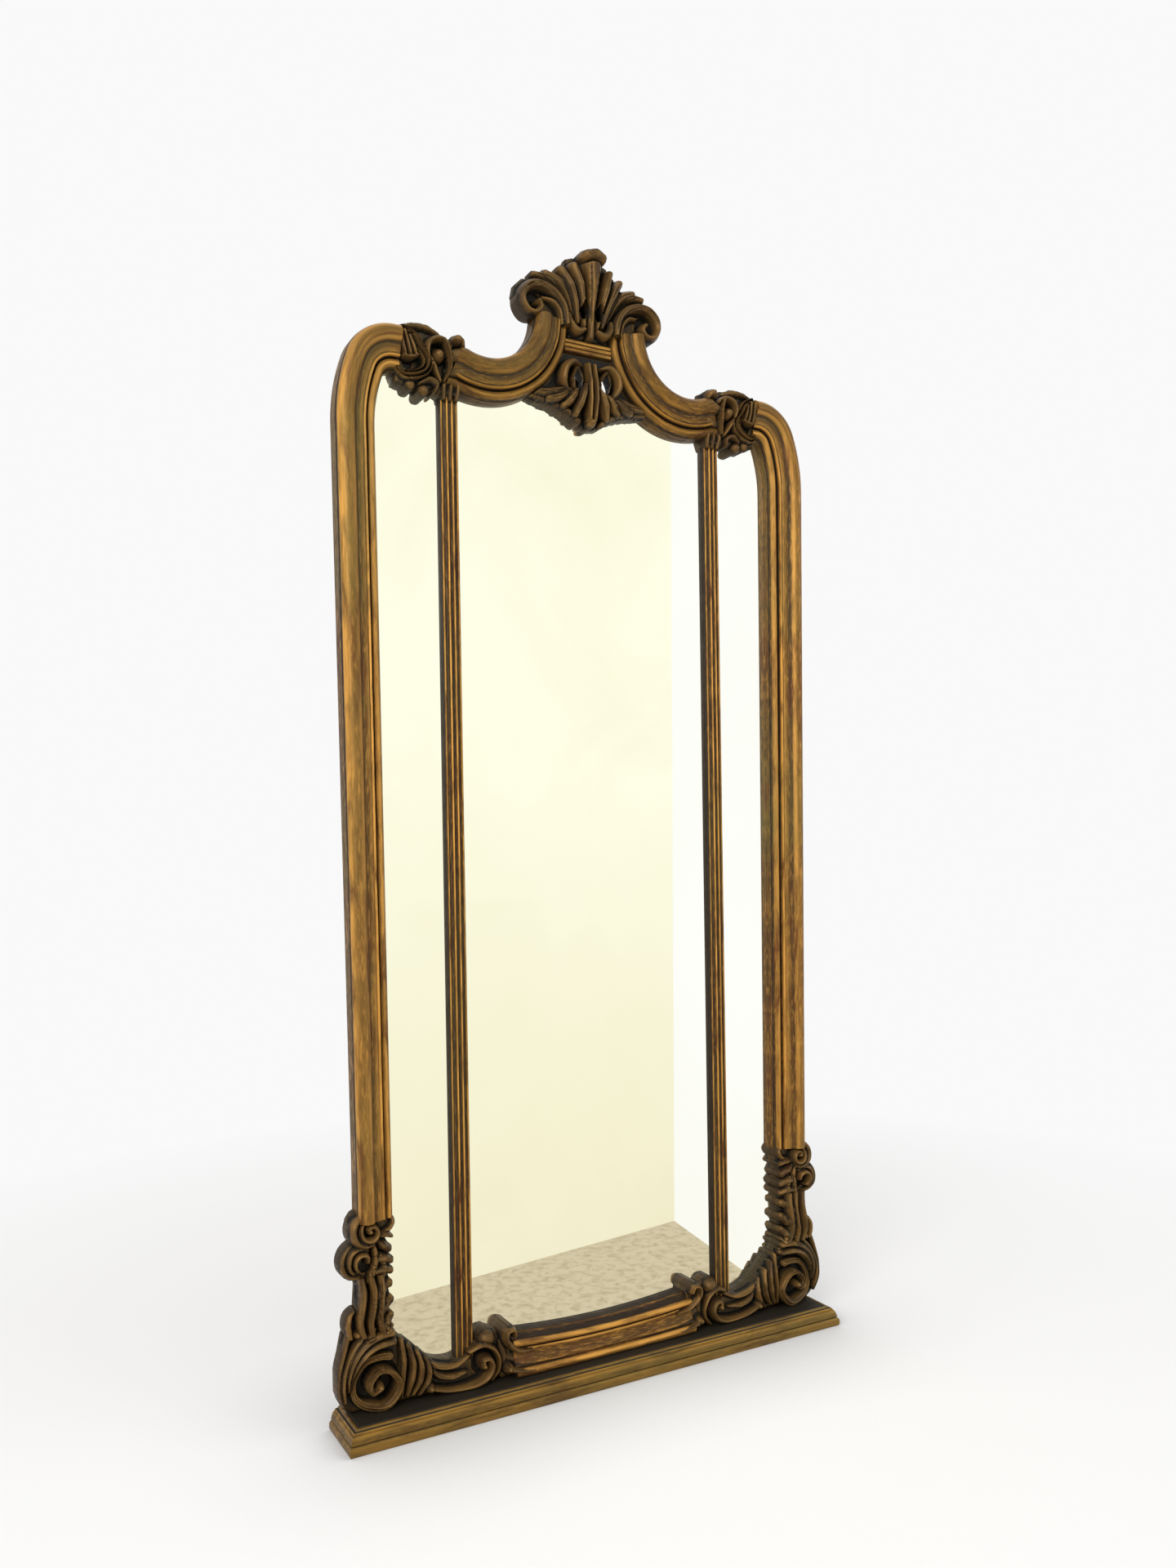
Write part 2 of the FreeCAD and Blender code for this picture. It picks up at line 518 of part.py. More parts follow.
def shoulder_cartouche():
    """C-scroll and nested flutes between the stile's shoulder and the swan neck."""
    outer = shoulder_end_x() - JOINT_GAP
    base = (outer, SIGHT_TOP_Z)
    left, right = (MULLION_X + side * (MULLION_WIDTH / 2 + JOINT_GAP) - outer for side in (-1, 1))
    foot = JOINT_GAP - MULLION_TOP_DROP
    outline = placed(base, (0, -18), (0, 70), (-11, 76), (-24, 81), (-40, 84), (-58, 81), (-74, 79),
                     (-86, 69), (-100, 67), (-119, 56), (-101, -12), (-108, -19), (-108, foot), (-79, foot),
                     (-71, -24), (-61, -21), (-53, -30), (-44, -36), (-36, -29), (-32, -21), (-17, -23))
    scroll, heel = placed(base, (-75, 38), (4, 35))
    curl = band(spiral(scroll, (24, 8), (60, 400), 8), (5, 5, 3), (38, 42, 42))
    flutes = [frond(spiral(heel, (radius, radius), turn, 3), (2, 4.5, 3), (24, 38, 26), LEAF_GROUND)
              for radius, turn in ((18, (105, 260)), (28, (100, 262)), (38, (102, 250)), (48, (110, 240)))]
    capital = lobes((MULLION_X, MULLION_TOP_Z), [((side, 29), (side * 1.6, 17), (side * 1.2, 0), (3, 5, 4),
                                                  (24, 26, 20)) for side in (-9, 0, 9)])
    knobs = [knob(place, radius, relief, LEAF_GROUND) for place, radius, relief in zip(
        placed(base, (-110, 67), (-44, -26), (-20, -16), (-63, -14)) + [scroll], (11, 10, 7, 6, 7),
        (32, 34, 28, 30, 42))]
    block = fused([carved_body(outline, 18), curl] + flutes + capital + knobs)
    limits = placed(base, (0, -40), (0, 100)) + [(NECK_CENTRE_X, SIGHT_TOP_Z + 100),
                                                 (NECK_CENTRE_X, SIGHT_TOP_Z + 57)]
    tail = math.radians(270 + NECK_TAIL_TURN)
    for radius in (NECK_INNER_RADIUS - 1, NECK_OUTER_RADIUS + 1):
        limits.append((NECK_CENTRE_X + radius * math.cos(tail) + JOINT_GAP, NECK_Z + radius * math.sin(tail)))
    limits += placed(base, (left, -16), (left, foot), (right, foot), (right, -40))
    return block.common(slab(limits, GILT_BACK_Y, -PLINTH_DEPTH / 2))


def crest_scroll():
    """Curled leaf on the end of the swan neck."""
    base = (NECK_CENTRE_X - NECK_INNER_RADIUS, NECK_Z)
    outline = placed(base, (-66, JOINT_GAP), (0, JOINT_GAP), (16, 0), (28, 11), (35, 30), (31, 49), (18, 62),
                     (0, 66), (-22, 64), (-46, 58), (-61, 44), (-67, 24))
    eye = placed(base, (0, 32))[0]
    curl = band(spiral(eye, (28, 9), (-100, 330), 9), (6, 6, 3), (38, 42, 42))
    wraps = lobes(base, (((-58, 2), (-60, 50), (-20, 58), (4, 6, 3), (36, 36, 28)),
                         ((-44, 2), (-46, 50), (-20, 46), (4, 6, 3), (36, 36, 28))))
    block = fused([carved_body(outline, 22), curl, knob(eye, 8, 44, LEAF_GROUND)] + wraps)
    return block.cut(box((0, base[0] + JOINT_GAP), (-PLINTH_DEPTH, PLINTH_DEPTH), (0, NECK_Z + JOINT_GAP)))


# ---------------------------------------------------------------- carved pieces on the centre line
def symmetric(half_outline):
    """Closed outline from its right half, which runs from the centre line round to it again."""
    return half_outline + [(-x, z) for x, z in reversed(half_outline) if x > 0]


def both_sides(shapes):
    """The shapes and their mirrored copies."""
    return shapes + [mirrored(shape) for shape in shapes]


def crest_palmette():
    """Acanthus fan at the top, pierced by two teardrops, its middle lobe curling forwards."""
    base = (0, NECK_Z)
    low = JOINT_GAP - CROSS_RAIL_DROP
    root = NECK_CENTRE_X - NECK_OUTER_RADIUS - JOINT_GAP
    outline = symmetric(placed(base, (0, low), (root, low), (root, 58), (64, 66), (90, 68), (116, 68),
                               (111, 77), (92, 85), (75, 83), (60, 88), (60, 101), (46, 108), (44, 118),
                               (28, 121), (0, 124)))
    fan = both_sides(lobes(base, (((10, -8), (16, 60), (24, 119), (3, 7, 3), (26, 44, 30)),
                                  ((24, 2), (38, 55), (42, 104), (3, 7, 3), (26, 40, 30)),
                                  ((32, 30), (44, 70), (74, 80), (3, 6, 3), (26, 34, 30)),
                                  ((36, 45), (60, 74), (108, 74), (3, 5, 3), (26, 28, 30)))))
    middle = lobes(base, (((0, -4), (0, 60), (0, CREST_RISE), (5, 8, 12), (36, 40, 30 + CREST_CURL)),), 6)
    curl = both_sides(lobes((0, NECK_Z + CREST_RISE), (((0, -8), (14, -2), (26, -14), (5, 7, 3),
                                                        (52, 56, 44)),)))
    rolls = both_sides([knob(place, radius, relief, LEAF_GROUND) for place, radius, relief in zip(
        placed(base, (23, low + 14), (33, low + 30)), (9, 7), (34, 30))])
    block = fused([carved_body(outline, 20)] + middle + curl + fan + rolls)
    block = block.common(box((-FRAME_INNER_X, FRAME_INNER_X), (-PLINTH_DEPTH / 2, GILT_BACK_Y),
                             (NECK_Z + low, NECK_Z + CREST_RISE)))
    hole = drop_hole(*placed(base, (22, 48), (17, 26)), 5.5)
    return block.cut(hole).cut(mirrored(hole))


def pendant_palmette():
    """Acanthus fan hanging below the cross rail, with two teardrops pierced right through it."""
    base = (0, SIGHT_TOP_Z)
    outline = symmetric(placed(base, (0, -42), (12, -40), (25, -33), (40, -21), (60, -14), (82, -9),
                               (108, -6), (128, 0), (118, 15), (92, 32), (70, 60), (48, 78), (0, 78)))
    fan = both_sides(lobes(base, (((7, 70), (14, 10), (22, -30), (3, 5, 3), (24, 42, 28)),
                                  ((14, 26), (24, 10), (42, -16), (3, 6, 3), (24, 40, 28)),
                                  ((46, 66), (54, 30), (62, -10), (3, 6, 3), (24, 36, 28)),
                                  ((44, 34), (60, 14), (86, -4), (3, 5, 3), (24, 32, 28)),
                                  ((58, 28), (80, 14), (116, 1), (3, 4, 3), (24, 28, 28))), ground=12))
    middle = lobes(base, (((0, 74), (0, 20), (0, -39), (5, 8, 5), (40, 46, 36)),), 5, 12)
    block = fused([carved_body(outline, 18)] + middle + fan)
    sweep = neck_sweep(NECK_OUTER_RADIUS + JOINT_GAP)
    hole = drop_hole(*placed(base, (33, 64), (27, 38)), 8)
    return block.cut(sweep).cut(mirrored(sweep)).cut(hole).cut(mirrored(hole))


# ---------------------------------------------------------------- plates
def centre_mirror_plate():
    """Plate between the two muntins' tongues."""
    half = MULLION_X - TONGUE_WIDTH / 2 - PLATE_CLEARANCE
    return box((-half, half), (PLATE_FRONT_Y, PLATE_BACK_Y), (PLATE_BOTTOM_Z, PLATE_TOP_Z))


def side_mirror_plate():
    """Plate between a muntin's tongue and the back stile."""
    inner = MULLION_X + TONGUE_WIDTH / 2 + PLATE_CLEARANCE
    return box((inner, PLATE_EDGE_X), (PLATE_FRONT_Y, PLATE_BACK_Y), (PLATE_BOTTOM_Z, PLATE_TOP_Z))


# ---------------------------------------------------------------- back frame
def back_stile():
    """Rebated stile of the back frame, standing on the plinth and half-lapped to both rails."""
    stile = box((FRAME_INNER_X, FRAME_OUTER_X), (GILT_BACK_Y, FRAME_BACK_Y), (PLINTH_HEIGHT, TOP_RAIL_TOP_Z))
    rebate = box((FRAME_INNER_X, FRAME_INNER_X + REBATE), (REBATE_Y, FRAME_BACK_Y),
                 (BOTTOM_RAIL_TOP_Z - REBATE, TOP_RAIL_Z + REBATE))
    return stile.cut(rebate).cut(rail_laps()).cut(shoulder_corner())


def shoulder_corner():
    """Waste outside the shoulder, sawn off the frame's upper corner."""
    reach = FRAME_OUTER_X + 1
    return slab([(reach, SIGHT_TOP_Z - 8), (reach, TOP_RAIL_TOP_Z + 1),
                 (reach - 34, TOP_RAIL_TOP_Z + 1)], FRAME_BACK_Y + 1, GILT_BACK_Y - 1)


def rail_laps():
    """Back half of the rails' ends, let into the right stile."""
    lap_y = GILT_BACK_Y + FRAME_DEPTH / 2
    span = (FRAME_INNER_X, FRAME_OUTER_X)
    upper = box(span, (lap_y, FRAME_BACK_Y), (TOP_RAIL_Z, TOP_RAIL_TOP_Z))
    lower = box(span, (lap_y, FRAME_BACK_Y), (PLINTH_HEIGHT, BOTTOM_RAIL_TOP_Z))
    return upper.fuse(lower)


def back_rail(low, high, rebate_z):
    """Rail between the stiles, with its laps and the rebate for the boards."""
    rail = box((-FRAME_INNER_X, FRAME_INNER_X), (GILT_BACK_Y, FRAME_BACK_Y), (low, high))
    laps = rail_laps().common(box((0, PLINTH_LENGTH), (0, PLINTH_DEPTH), (low, high)))
    rebate = box((-FRAME_INNER_X - REBATE, FRAME_INNER_X + REBATE), (REBATE_Y, FRAME_BACK_Y), rebate_z)
    return rail.multiFuse([laps, mirrored(laps)]).removeSplitter().cut(rebate)


def top_back_rail():
    """Top rail, waisted behind the pierced pendant."""
    rail = back_rail(TOP_RAIL_Z, TOP_RAIL_TOP_Z, (TOP_RAIL_Z, TOP_RAIL_Z + REBATE))
    waist = box((-TOP_RAIL_WAIST_HALF, TOP_RAIL_WAIST_HALF), (0, PLINTH_DEPTH),
                (TOP_RAIL_Z + TOP_RAIL_WAIST, TOP_RAIL_TOP_Z))
    corner = shoulder_corner()
    return rail.cut(waist).cut(corner).cut(mirrored(corner)).cut(crest_batten())


def bottom_back_rail():
    """Bottom rail, standing on the plinth."""
    return back_rail(PLINTH_HEIGHT, BOTTOM_RAIL_TOP_Z, (BOTTOM_RAIL_TOP_Z - REBATE, BOTTOM_RAIL_TOP_Z))


def back_muntin():
    """T-shaped bar: its tongue stands between two plates and carries the mullion."""
    half = MUNTIN_WIDTH / 2
    bar = box((MULLION_X - half, MULLION_X + half), (PLATE_BACK_Y + PLATE_CLEARANCE, FRAME_BACK_Y),
              (BOTTOM_RAIL_TOP_Z, TOP_RAIL_Z))
    tongue = box((MULLION_X - TONGUE_WIDTH / 2, MULLION_X + TONGUE_WIDTH / 2),
                 (GILT_BACK_Y, FRAME_BACK_Y), (BOTTOM_RAIL_TOP_Z, TOP_RAIL_Z))
    rebates = [box(span, (REBATE_Y, FRAME_BACK_Y), (BOTTOM_RAIL_TOP_Z, TOP_RAIL_Z))
               for span in ((MULLION_X - half, MULLION_X - half + REBATE),
                            (MULLION_X + half - REBATE, MULLION_X + half))]
    return bar.fuse(tongue).removeSplitter().cut(rebates[0]).cut(rebates[1])


def crest_batten():
    """Upright batten that carries pendant, cross rail and crest, housed in the top rail."""
    return box((-BATTEN_HALF, BATTEN_HALF), (GILT_BACK_Y, REBATE_Y),
               (TOP_RAIL_Z + BATTEN_SEAT, TOP_RAIL_Z + BATTEN_RISE))


def crest_crosspiece():
    """Batten across the back of the crest batten, behind the crest's scrolls."""
    low = NECK_Z + CROSSPIECE_RISE
    bar = box((-CROSSPIECE_HALF, CROSSPIECE_HALF), (GILT_BACK_Y, FRAME_BACK_Y),
              (low, low + CROSSPIECE_HEIGHT))
    return bar.cut(crest_batten())


# ---------------------------------------------------------------- boards, blocks
def board_bay_z():
    """Lower and upper limits of the boards."""
    return BOTTOM_RAIL_TOP_Z - REBATE + BOARD_GAP, TOP_RAIL_Z + REBATE - BOARD_GAP


def side_backboard():
    """Thin board behind a side plate."""
    inner = MULLION_X + MUNTIN_WIDTH / 2 - REBATE + BOARD_GAP
    return box((inner, FRAME_INNER_X + REBATE - BOARD_GAP), (REBATE_Y, FRAME_BACK_Y), board_bay_z())


def centre_backboard(index):
    """One of the boards stacked behind the centre plate, counted from the bottom."""
    low, high = board_bay_z()
    pitch = (high - low + BOARD_GAP) / CENTRE_BOARDS
    half = MULLION_X - MUNTIN_WIDTH / 2 + REBATE - BOARD_GAP
    start = low + pitch * index
    return box((-half, half), (REBATE_Y, FRAME_BACK_Y), (start, start + pitch - BOARD_GAP))


def glazing_blocks():
    """Blocks that press the plates' edges forwards, and the blocks that the plates stand on."""
    blocks = []
    span = PLATE_TOP_Z - PLATE_BOTTOM_Z
    for row in range(BLOCK_ROWS):
        middle = PLATE_BOTTOM_Z + span * (row + 0.5) / BLOCK_ROWS
        low = middle - BLOCK_LENGTH / 2
        blocks.append(box((FRAME_INNER_X - BLOCK_WIDTH, FRAME_INNER_X), (PLATE_BACK_Y, REBATE_Y),
                          (low, low + BLOCK_LENGTH)))
    side_middle = (MULLION_X + PLATE_EDGE_X) / 2
    for x in (side_middle, MULLION_X * BLOCK_INBOARD):
        blocks.append(box((x - BED_LENGTH / 2, x + BED_LENGTH / 2), (PLATE_FRONT_Y, PLATE_BACK_Y),
                          (BOTTOM_RAIL_TOP_Z, PLATE_BOTTOM_Z)))
    return Part.makeCompound(both_sides(blocks))


# ---------------------------------------------------------------- screws
def turned_stack(stack):
    """Small fastener as rings up the Z axis; stack is (radius, height) from its tip to its head."""
    rings = []
    for radius, height in stack:
        ring = spiral((0, 0), (radius, radius), (0, 360), SCREW_SIDES)[:-1]
        rings.append([Vector(x, y, height) for x, y in ring])
    return faceted(rings)


def screw(length):
    """Countersunk screw, head up at the origin, pointing down -Z."""
    return turned_stack(((SCREW_RADIUS, -length), (SCREW_RADIUS, -SCREW_CONE), (SCREW_HEAD_RADIUS, 0)))


def pan_screw():
    """Pan-head screw for a hanger's strap, its seat at the origin."""
    shank = turned_stack(((SCREW_RADIUS, -HANGER_SCREW), (SCREW_RADIUS, PAN_HEIGHT / 2)))
    head = turned_stack(((SCREW_HEAD_RADIUS, 0), (SCREW_HEAD_RADIUS, PAN_HEIGHT / 2),
                         (SCREW_HEAD_RADIUS * 0.6, PAN_HEIGHT)))
    return shank.fuse(head).removeSplitter()


def driven_forwards(shape, x, y, z):
    """Screw shape turned to point towards the viewer, its head at the given place."""
    copy = shape.copy()
    copy.rotate(Vector(0, 0, 0), Vector(1, 0, 0), -90)
    copy.translate(Vector(x, y, z))
    return copy


def backboard_screws():
    """Screws through the boards' ends into the rebates."""
    places = []
    low, high = board_bay_z()
    side_x = (MULLION_X + MUNTIN_WIDTH / 2 + FRAME_INNER_X) / 2
    for x in (-side_x, side_x):
        places += [(x, low + REBATE / 2), (x, high - REBATE / 2)]
    pitch = (high - low) / CENTRE_BOARDS
    edge_x = MULLION_X - MUNTIN_WIDTH / 2 + REBATE / 2
    for index in range(CENTRE_BOARDS):
        middle = low + pitch * (index + 0.5)
        places += [(-edge_x, middle), (edge_x, middle)]
    return [driven_forwards(screw(BOARD_SCREW), x, FRAME_BACK_Y, z) for x, z in places]


def carving_screws():
    """Long screws from behind, through the back frame into the mouldings and carvings."""
    stile_x = (FRAME_INNER_X + REBATE + FRAME_OUTER_X) / 2
    right = [(stile_x, SIGHT_TOP_Z * share) for share in CARVING_SCREW_ROWS]
    right.append((MULLION_X - RAIL_SCREW_INBOARD, TOP_RAIL_Z + TOP_RAIL_HEIGHT / 2 + REBATE / 2))
    places = right + [(-x, z) for x, z in right]
    return [driven_forwards(screw(CARVING_SCREW), x, FRAME_BACK_Y, z) for x, z in places]


def plinth_screws():
    """Screws from below, through the plinth into the bottom rail and the stiles."""
    screws = []
    y = GILT_BACK_Y + FRAME_DEPTH / 4
    stile_x = FRAME_OUTER_X - BACK_STILE_WIDTH / 2
    for x in (-stile_x, -MULLION_X, 0, MULLION_X, stile_x):
        copy = screw(PLINTH_SCREW)
        copy.rotate(Vector(0, 0, 0), Vector(1, 0, 0), 180)
        copy.translate(Vector(x, y, 0))
        screws.append(copy)
    return screws


def hanger_screws():
    """Pan-head screws through the hangers' straps."""
    seat = FRAME_BACK_Y + STRAP_THICKNESS
    right = [driven_forwards(pan_screw(), HANGER_X, seat, HANGER_Z - drop) for drop in STRAP_SCREWS]
    return both_sides(right)


# ---------------------------------------------------------------- hangers
def hanger_strap():
    """Steel strap folded round the ring's bar; the knuckle is at its top."""
    half = STRAP_WIDTH / 2
    strap = box((HANGER_X - half, HANGER_X + half), (FRAME_BACK_Y, FRAME_BACK_Y + STRAP_THICKNESS),
                (HANGER_Z - STRAP_LENGTH, HANGER_Z))
    axis = Vector(HANGER_X - half, PIVOT_Y, HANGER_Z)
    rim = spiral((PIVOT_Y, HANGER_Z), (KNUCKLE_RADIUS / math.cos(math.pi / KNUCKLE_SIDES),) * 2,
                 (180 / KNUCKLE_SIDES, 360 + 180 / KNUCKLE_SIDES), KNUCKLE_SIDES)[:-1]
    knuckle = polygon_face([Vector(axis.x, y, z) for y, z in rim]).extrude(Vector(STRAP_WIDTH, 0, 0))
    bore = Part.makeCylinder(KNUCKLE_RADIUS - STRAP_THICKNESS, STRAP_WIDTH, axis, Vector(1, 0, 0))
    return strap.fuse(knuckle).removeSplitter().cut(bore)


def ring_outline(half, top, y):
    """D-shaped outline that hangs from the pivot."""
    low = HANGER_Z - RING_DROP
    corners = [(HANGER_X + half, HANGER_Z + top), (HANGER_X - half, HANGER_Z + top)]
    corners += spiral((HANGER_X, low), (half, half), (180, 360), RING_FACETS)
    return polygon_face([Vector(x, y, z) for x, z in corners])


def hanger_ring():
    """D-ring of square bar; the part that turns in the knuckle is round."""
    front = PIVOT_Y - RING_WIRE / 2
    push = Vector(0, RING_WIRE, 0)
    outer = ring_outline(RING_BAR_HALF + RING_WIRE, RING_WIRE / 2, front).extrude(push)
    inner = ring_outline(RING_BAR_HALF, -RING_WIRE / 2, front).extrude(push)
    bar_room = box((HANGER_X - RING_BAR_HALF, HANGER_X + RING_BAR_HALF), (front, front + RING_WIRE),
                   (HANGER_Z - RING_WIRE / 2, HANGER_Z + RING_WIRE / 2))
    bar = Part.makeCylinder(RING_WIRE / 2, 2 * RING_BAR_HALF,
                            Vector(HANGER_X - RING_BAR_HALF, PIVOT_Y, HANGER_Z), Vector(1, 0, 0))
    return outer.cut(inner).cut(bar_room).fuse(bar).removeSplitter()


# ---------------------------------------------------------------- assembly
def bored(shape, screws):
    """Shape with the holes that its screws have cut."""
    near = [each for each in screws if each.BoundBox.intersect(shape.BoundBox)]
    return shape.cut(near) if near else shape


def build():
    """Every sub-part by its node's name."""
    nodes = {"plinth_board": plinth_board(), "crest_palmette": crest_palmette(),
             "pendant_palmette": pendant_palmette(), "crest_cross_rail": crest_cross_rail(),
             "bottom_rail_moulding": bottom_rail_moulding(), "centre_mirror_plate": centre_mirror_plate(),
             "top_back_rail": top_back_rail(), "bottom_back_rail": bottom_back_rail(),
             "crest_batten": crest_batten(), "crest_crosspiece": crest_crosspiece(),
             "glazing_blocks": glazing_blocks()}
    pairs = {"stile_moulding": stile_moulding, "swan_neck": swan_neck, "crest_scroll": crest_scroll,
             "shoulder_cartouche": shoulder_cartouche, "mullion": mullion, "stile_scroll": stile_scroll,
             "stile_leaf": stile_leaf, "corner_volute": corner_volute, "apron_leaf": apron_leaf,
             "mirror_plate": side_mirror_plate, "back_stile": back_stile, "back_muntin": back_muntin,
             "backboard": side_backboard, "hanger_strap": hanger_strap, "hanger_ring": hanger_ring}
    for name, make in pairs.items():
        shape = make()
        nodes["right_" + name] = shape
        nodes["left_" + name] = mirrored(shape)
    for index in range(CENTRE_BOARDS):
        nodes["centre_backboard_%d" % (index + 1)] = centre_backboard(index)
    fasteners = {"backboard_screws": backboard_screws(), "carving_screws": carving_screws(),
                 "plinth_screws": plinth_screws(), "hanger_screws": hanger_screws()}
    screws = [each for group in fasteners.values() for each in group]
    nodes = {name: bored(shape, screws) for name, shape in nodes.items()}
    for name, group in fasteners.items():
        nodes[name] = Part.makeCompound(group)
    return nodes


def main():
    """Write one STEP file per node."""
    os.makedirs("parts", exist_ok=True)
    for name, shape in sorted(build().items()):
        shape.exportStep("parts/%s.step" % name)
        print("%-24s solids %2d  valid %s  volume %.1f cm3" % (name, len(shape.Solids), shape.isValid(),
                                                             shape.Volume / 1000))


main()
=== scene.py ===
"""Dresses the trumeau mirror: carved and swept gilt wood, silvered plates, old pine and steel.

Sizes in the classes are millimetres in the frame of the CAD model: +X is the viewer's right, +Y goes into
the wall, +Z is up, and a relief is a height in front of the gilt pieces' back plane.
"""

import json  # noqa: E402
import logging  # noqa: E402
import math  # noqa: E402
from dataclasses import dataclass, replace  # noqa: E402
from enum import Enum  # noqa: E402

import bpy  # noqa: E402
import numpy as np  # noqa: E402
from mathutils import Matrix, Vector  # noqa: E402

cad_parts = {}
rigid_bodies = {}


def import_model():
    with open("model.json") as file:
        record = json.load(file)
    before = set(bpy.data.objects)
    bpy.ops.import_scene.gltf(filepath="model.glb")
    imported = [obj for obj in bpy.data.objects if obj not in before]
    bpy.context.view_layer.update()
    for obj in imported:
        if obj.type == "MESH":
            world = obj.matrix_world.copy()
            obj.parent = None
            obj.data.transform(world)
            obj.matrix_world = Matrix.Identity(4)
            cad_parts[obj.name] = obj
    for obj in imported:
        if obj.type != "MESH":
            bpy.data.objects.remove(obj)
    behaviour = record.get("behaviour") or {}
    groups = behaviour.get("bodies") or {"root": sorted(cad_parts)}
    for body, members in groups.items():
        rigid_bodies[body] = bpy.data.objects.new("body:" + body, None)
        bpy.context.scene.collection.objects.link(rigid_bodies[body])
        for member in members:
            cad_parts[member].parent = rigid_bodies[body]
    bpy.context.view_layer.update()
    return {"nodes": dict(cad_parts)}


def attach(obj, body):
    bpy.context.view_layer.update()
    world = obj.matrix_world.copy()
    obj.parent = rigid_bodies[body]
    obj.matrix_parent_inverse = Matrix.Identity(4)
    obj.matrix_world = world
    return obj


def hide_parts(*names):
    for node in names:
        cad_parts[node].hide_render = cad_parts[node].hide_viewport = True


LOG = logging.getLogger("trumeau")
MM = 0.001

GILT_BACK = 30.0            # back plane of every gilt piece
PLINTH_TOP = 36.0
NECK_CENTRE = (205.0, 1870.0)
NECK_LIP = 163.0            # radius of the swan neck's lip
HOOK_BALL = (197.0, 55.0)   # ball below the hook at each end of the bottom rail
FAR = 1e4                   # past every piece

GRID_PITCH = 1.0            # of the carvings' relief
CUT_REACH = 2.6             # width of the cut beside a carved ridge
GRAIN_SHIFT = 137.0         # between the grain of one ridge and the next
THINNEST = 5.0              # least thickness of a carving

Colour = tuple[float, float, float]
Point = tuple[float, float]


def tint(red: int, green: int, blue: int) -> tuple[float, float, float, float]:
    """Scene colour of an 8-bit display colour.

    Args:
        red, green, blue: channels from 0 to 255.

    Returns:
        Linear red, green, blue and an alpha of 1.
    """
    def linear(channel: int) -> float:
        """Linear value of one channel."""
        share = channel / 255
        return share / 12.92 if share <= 0.04045 else ((share + 0.055) / 1.055) ** 2.4
    return (linear(red), linear(green), linear(blue), 1.0)


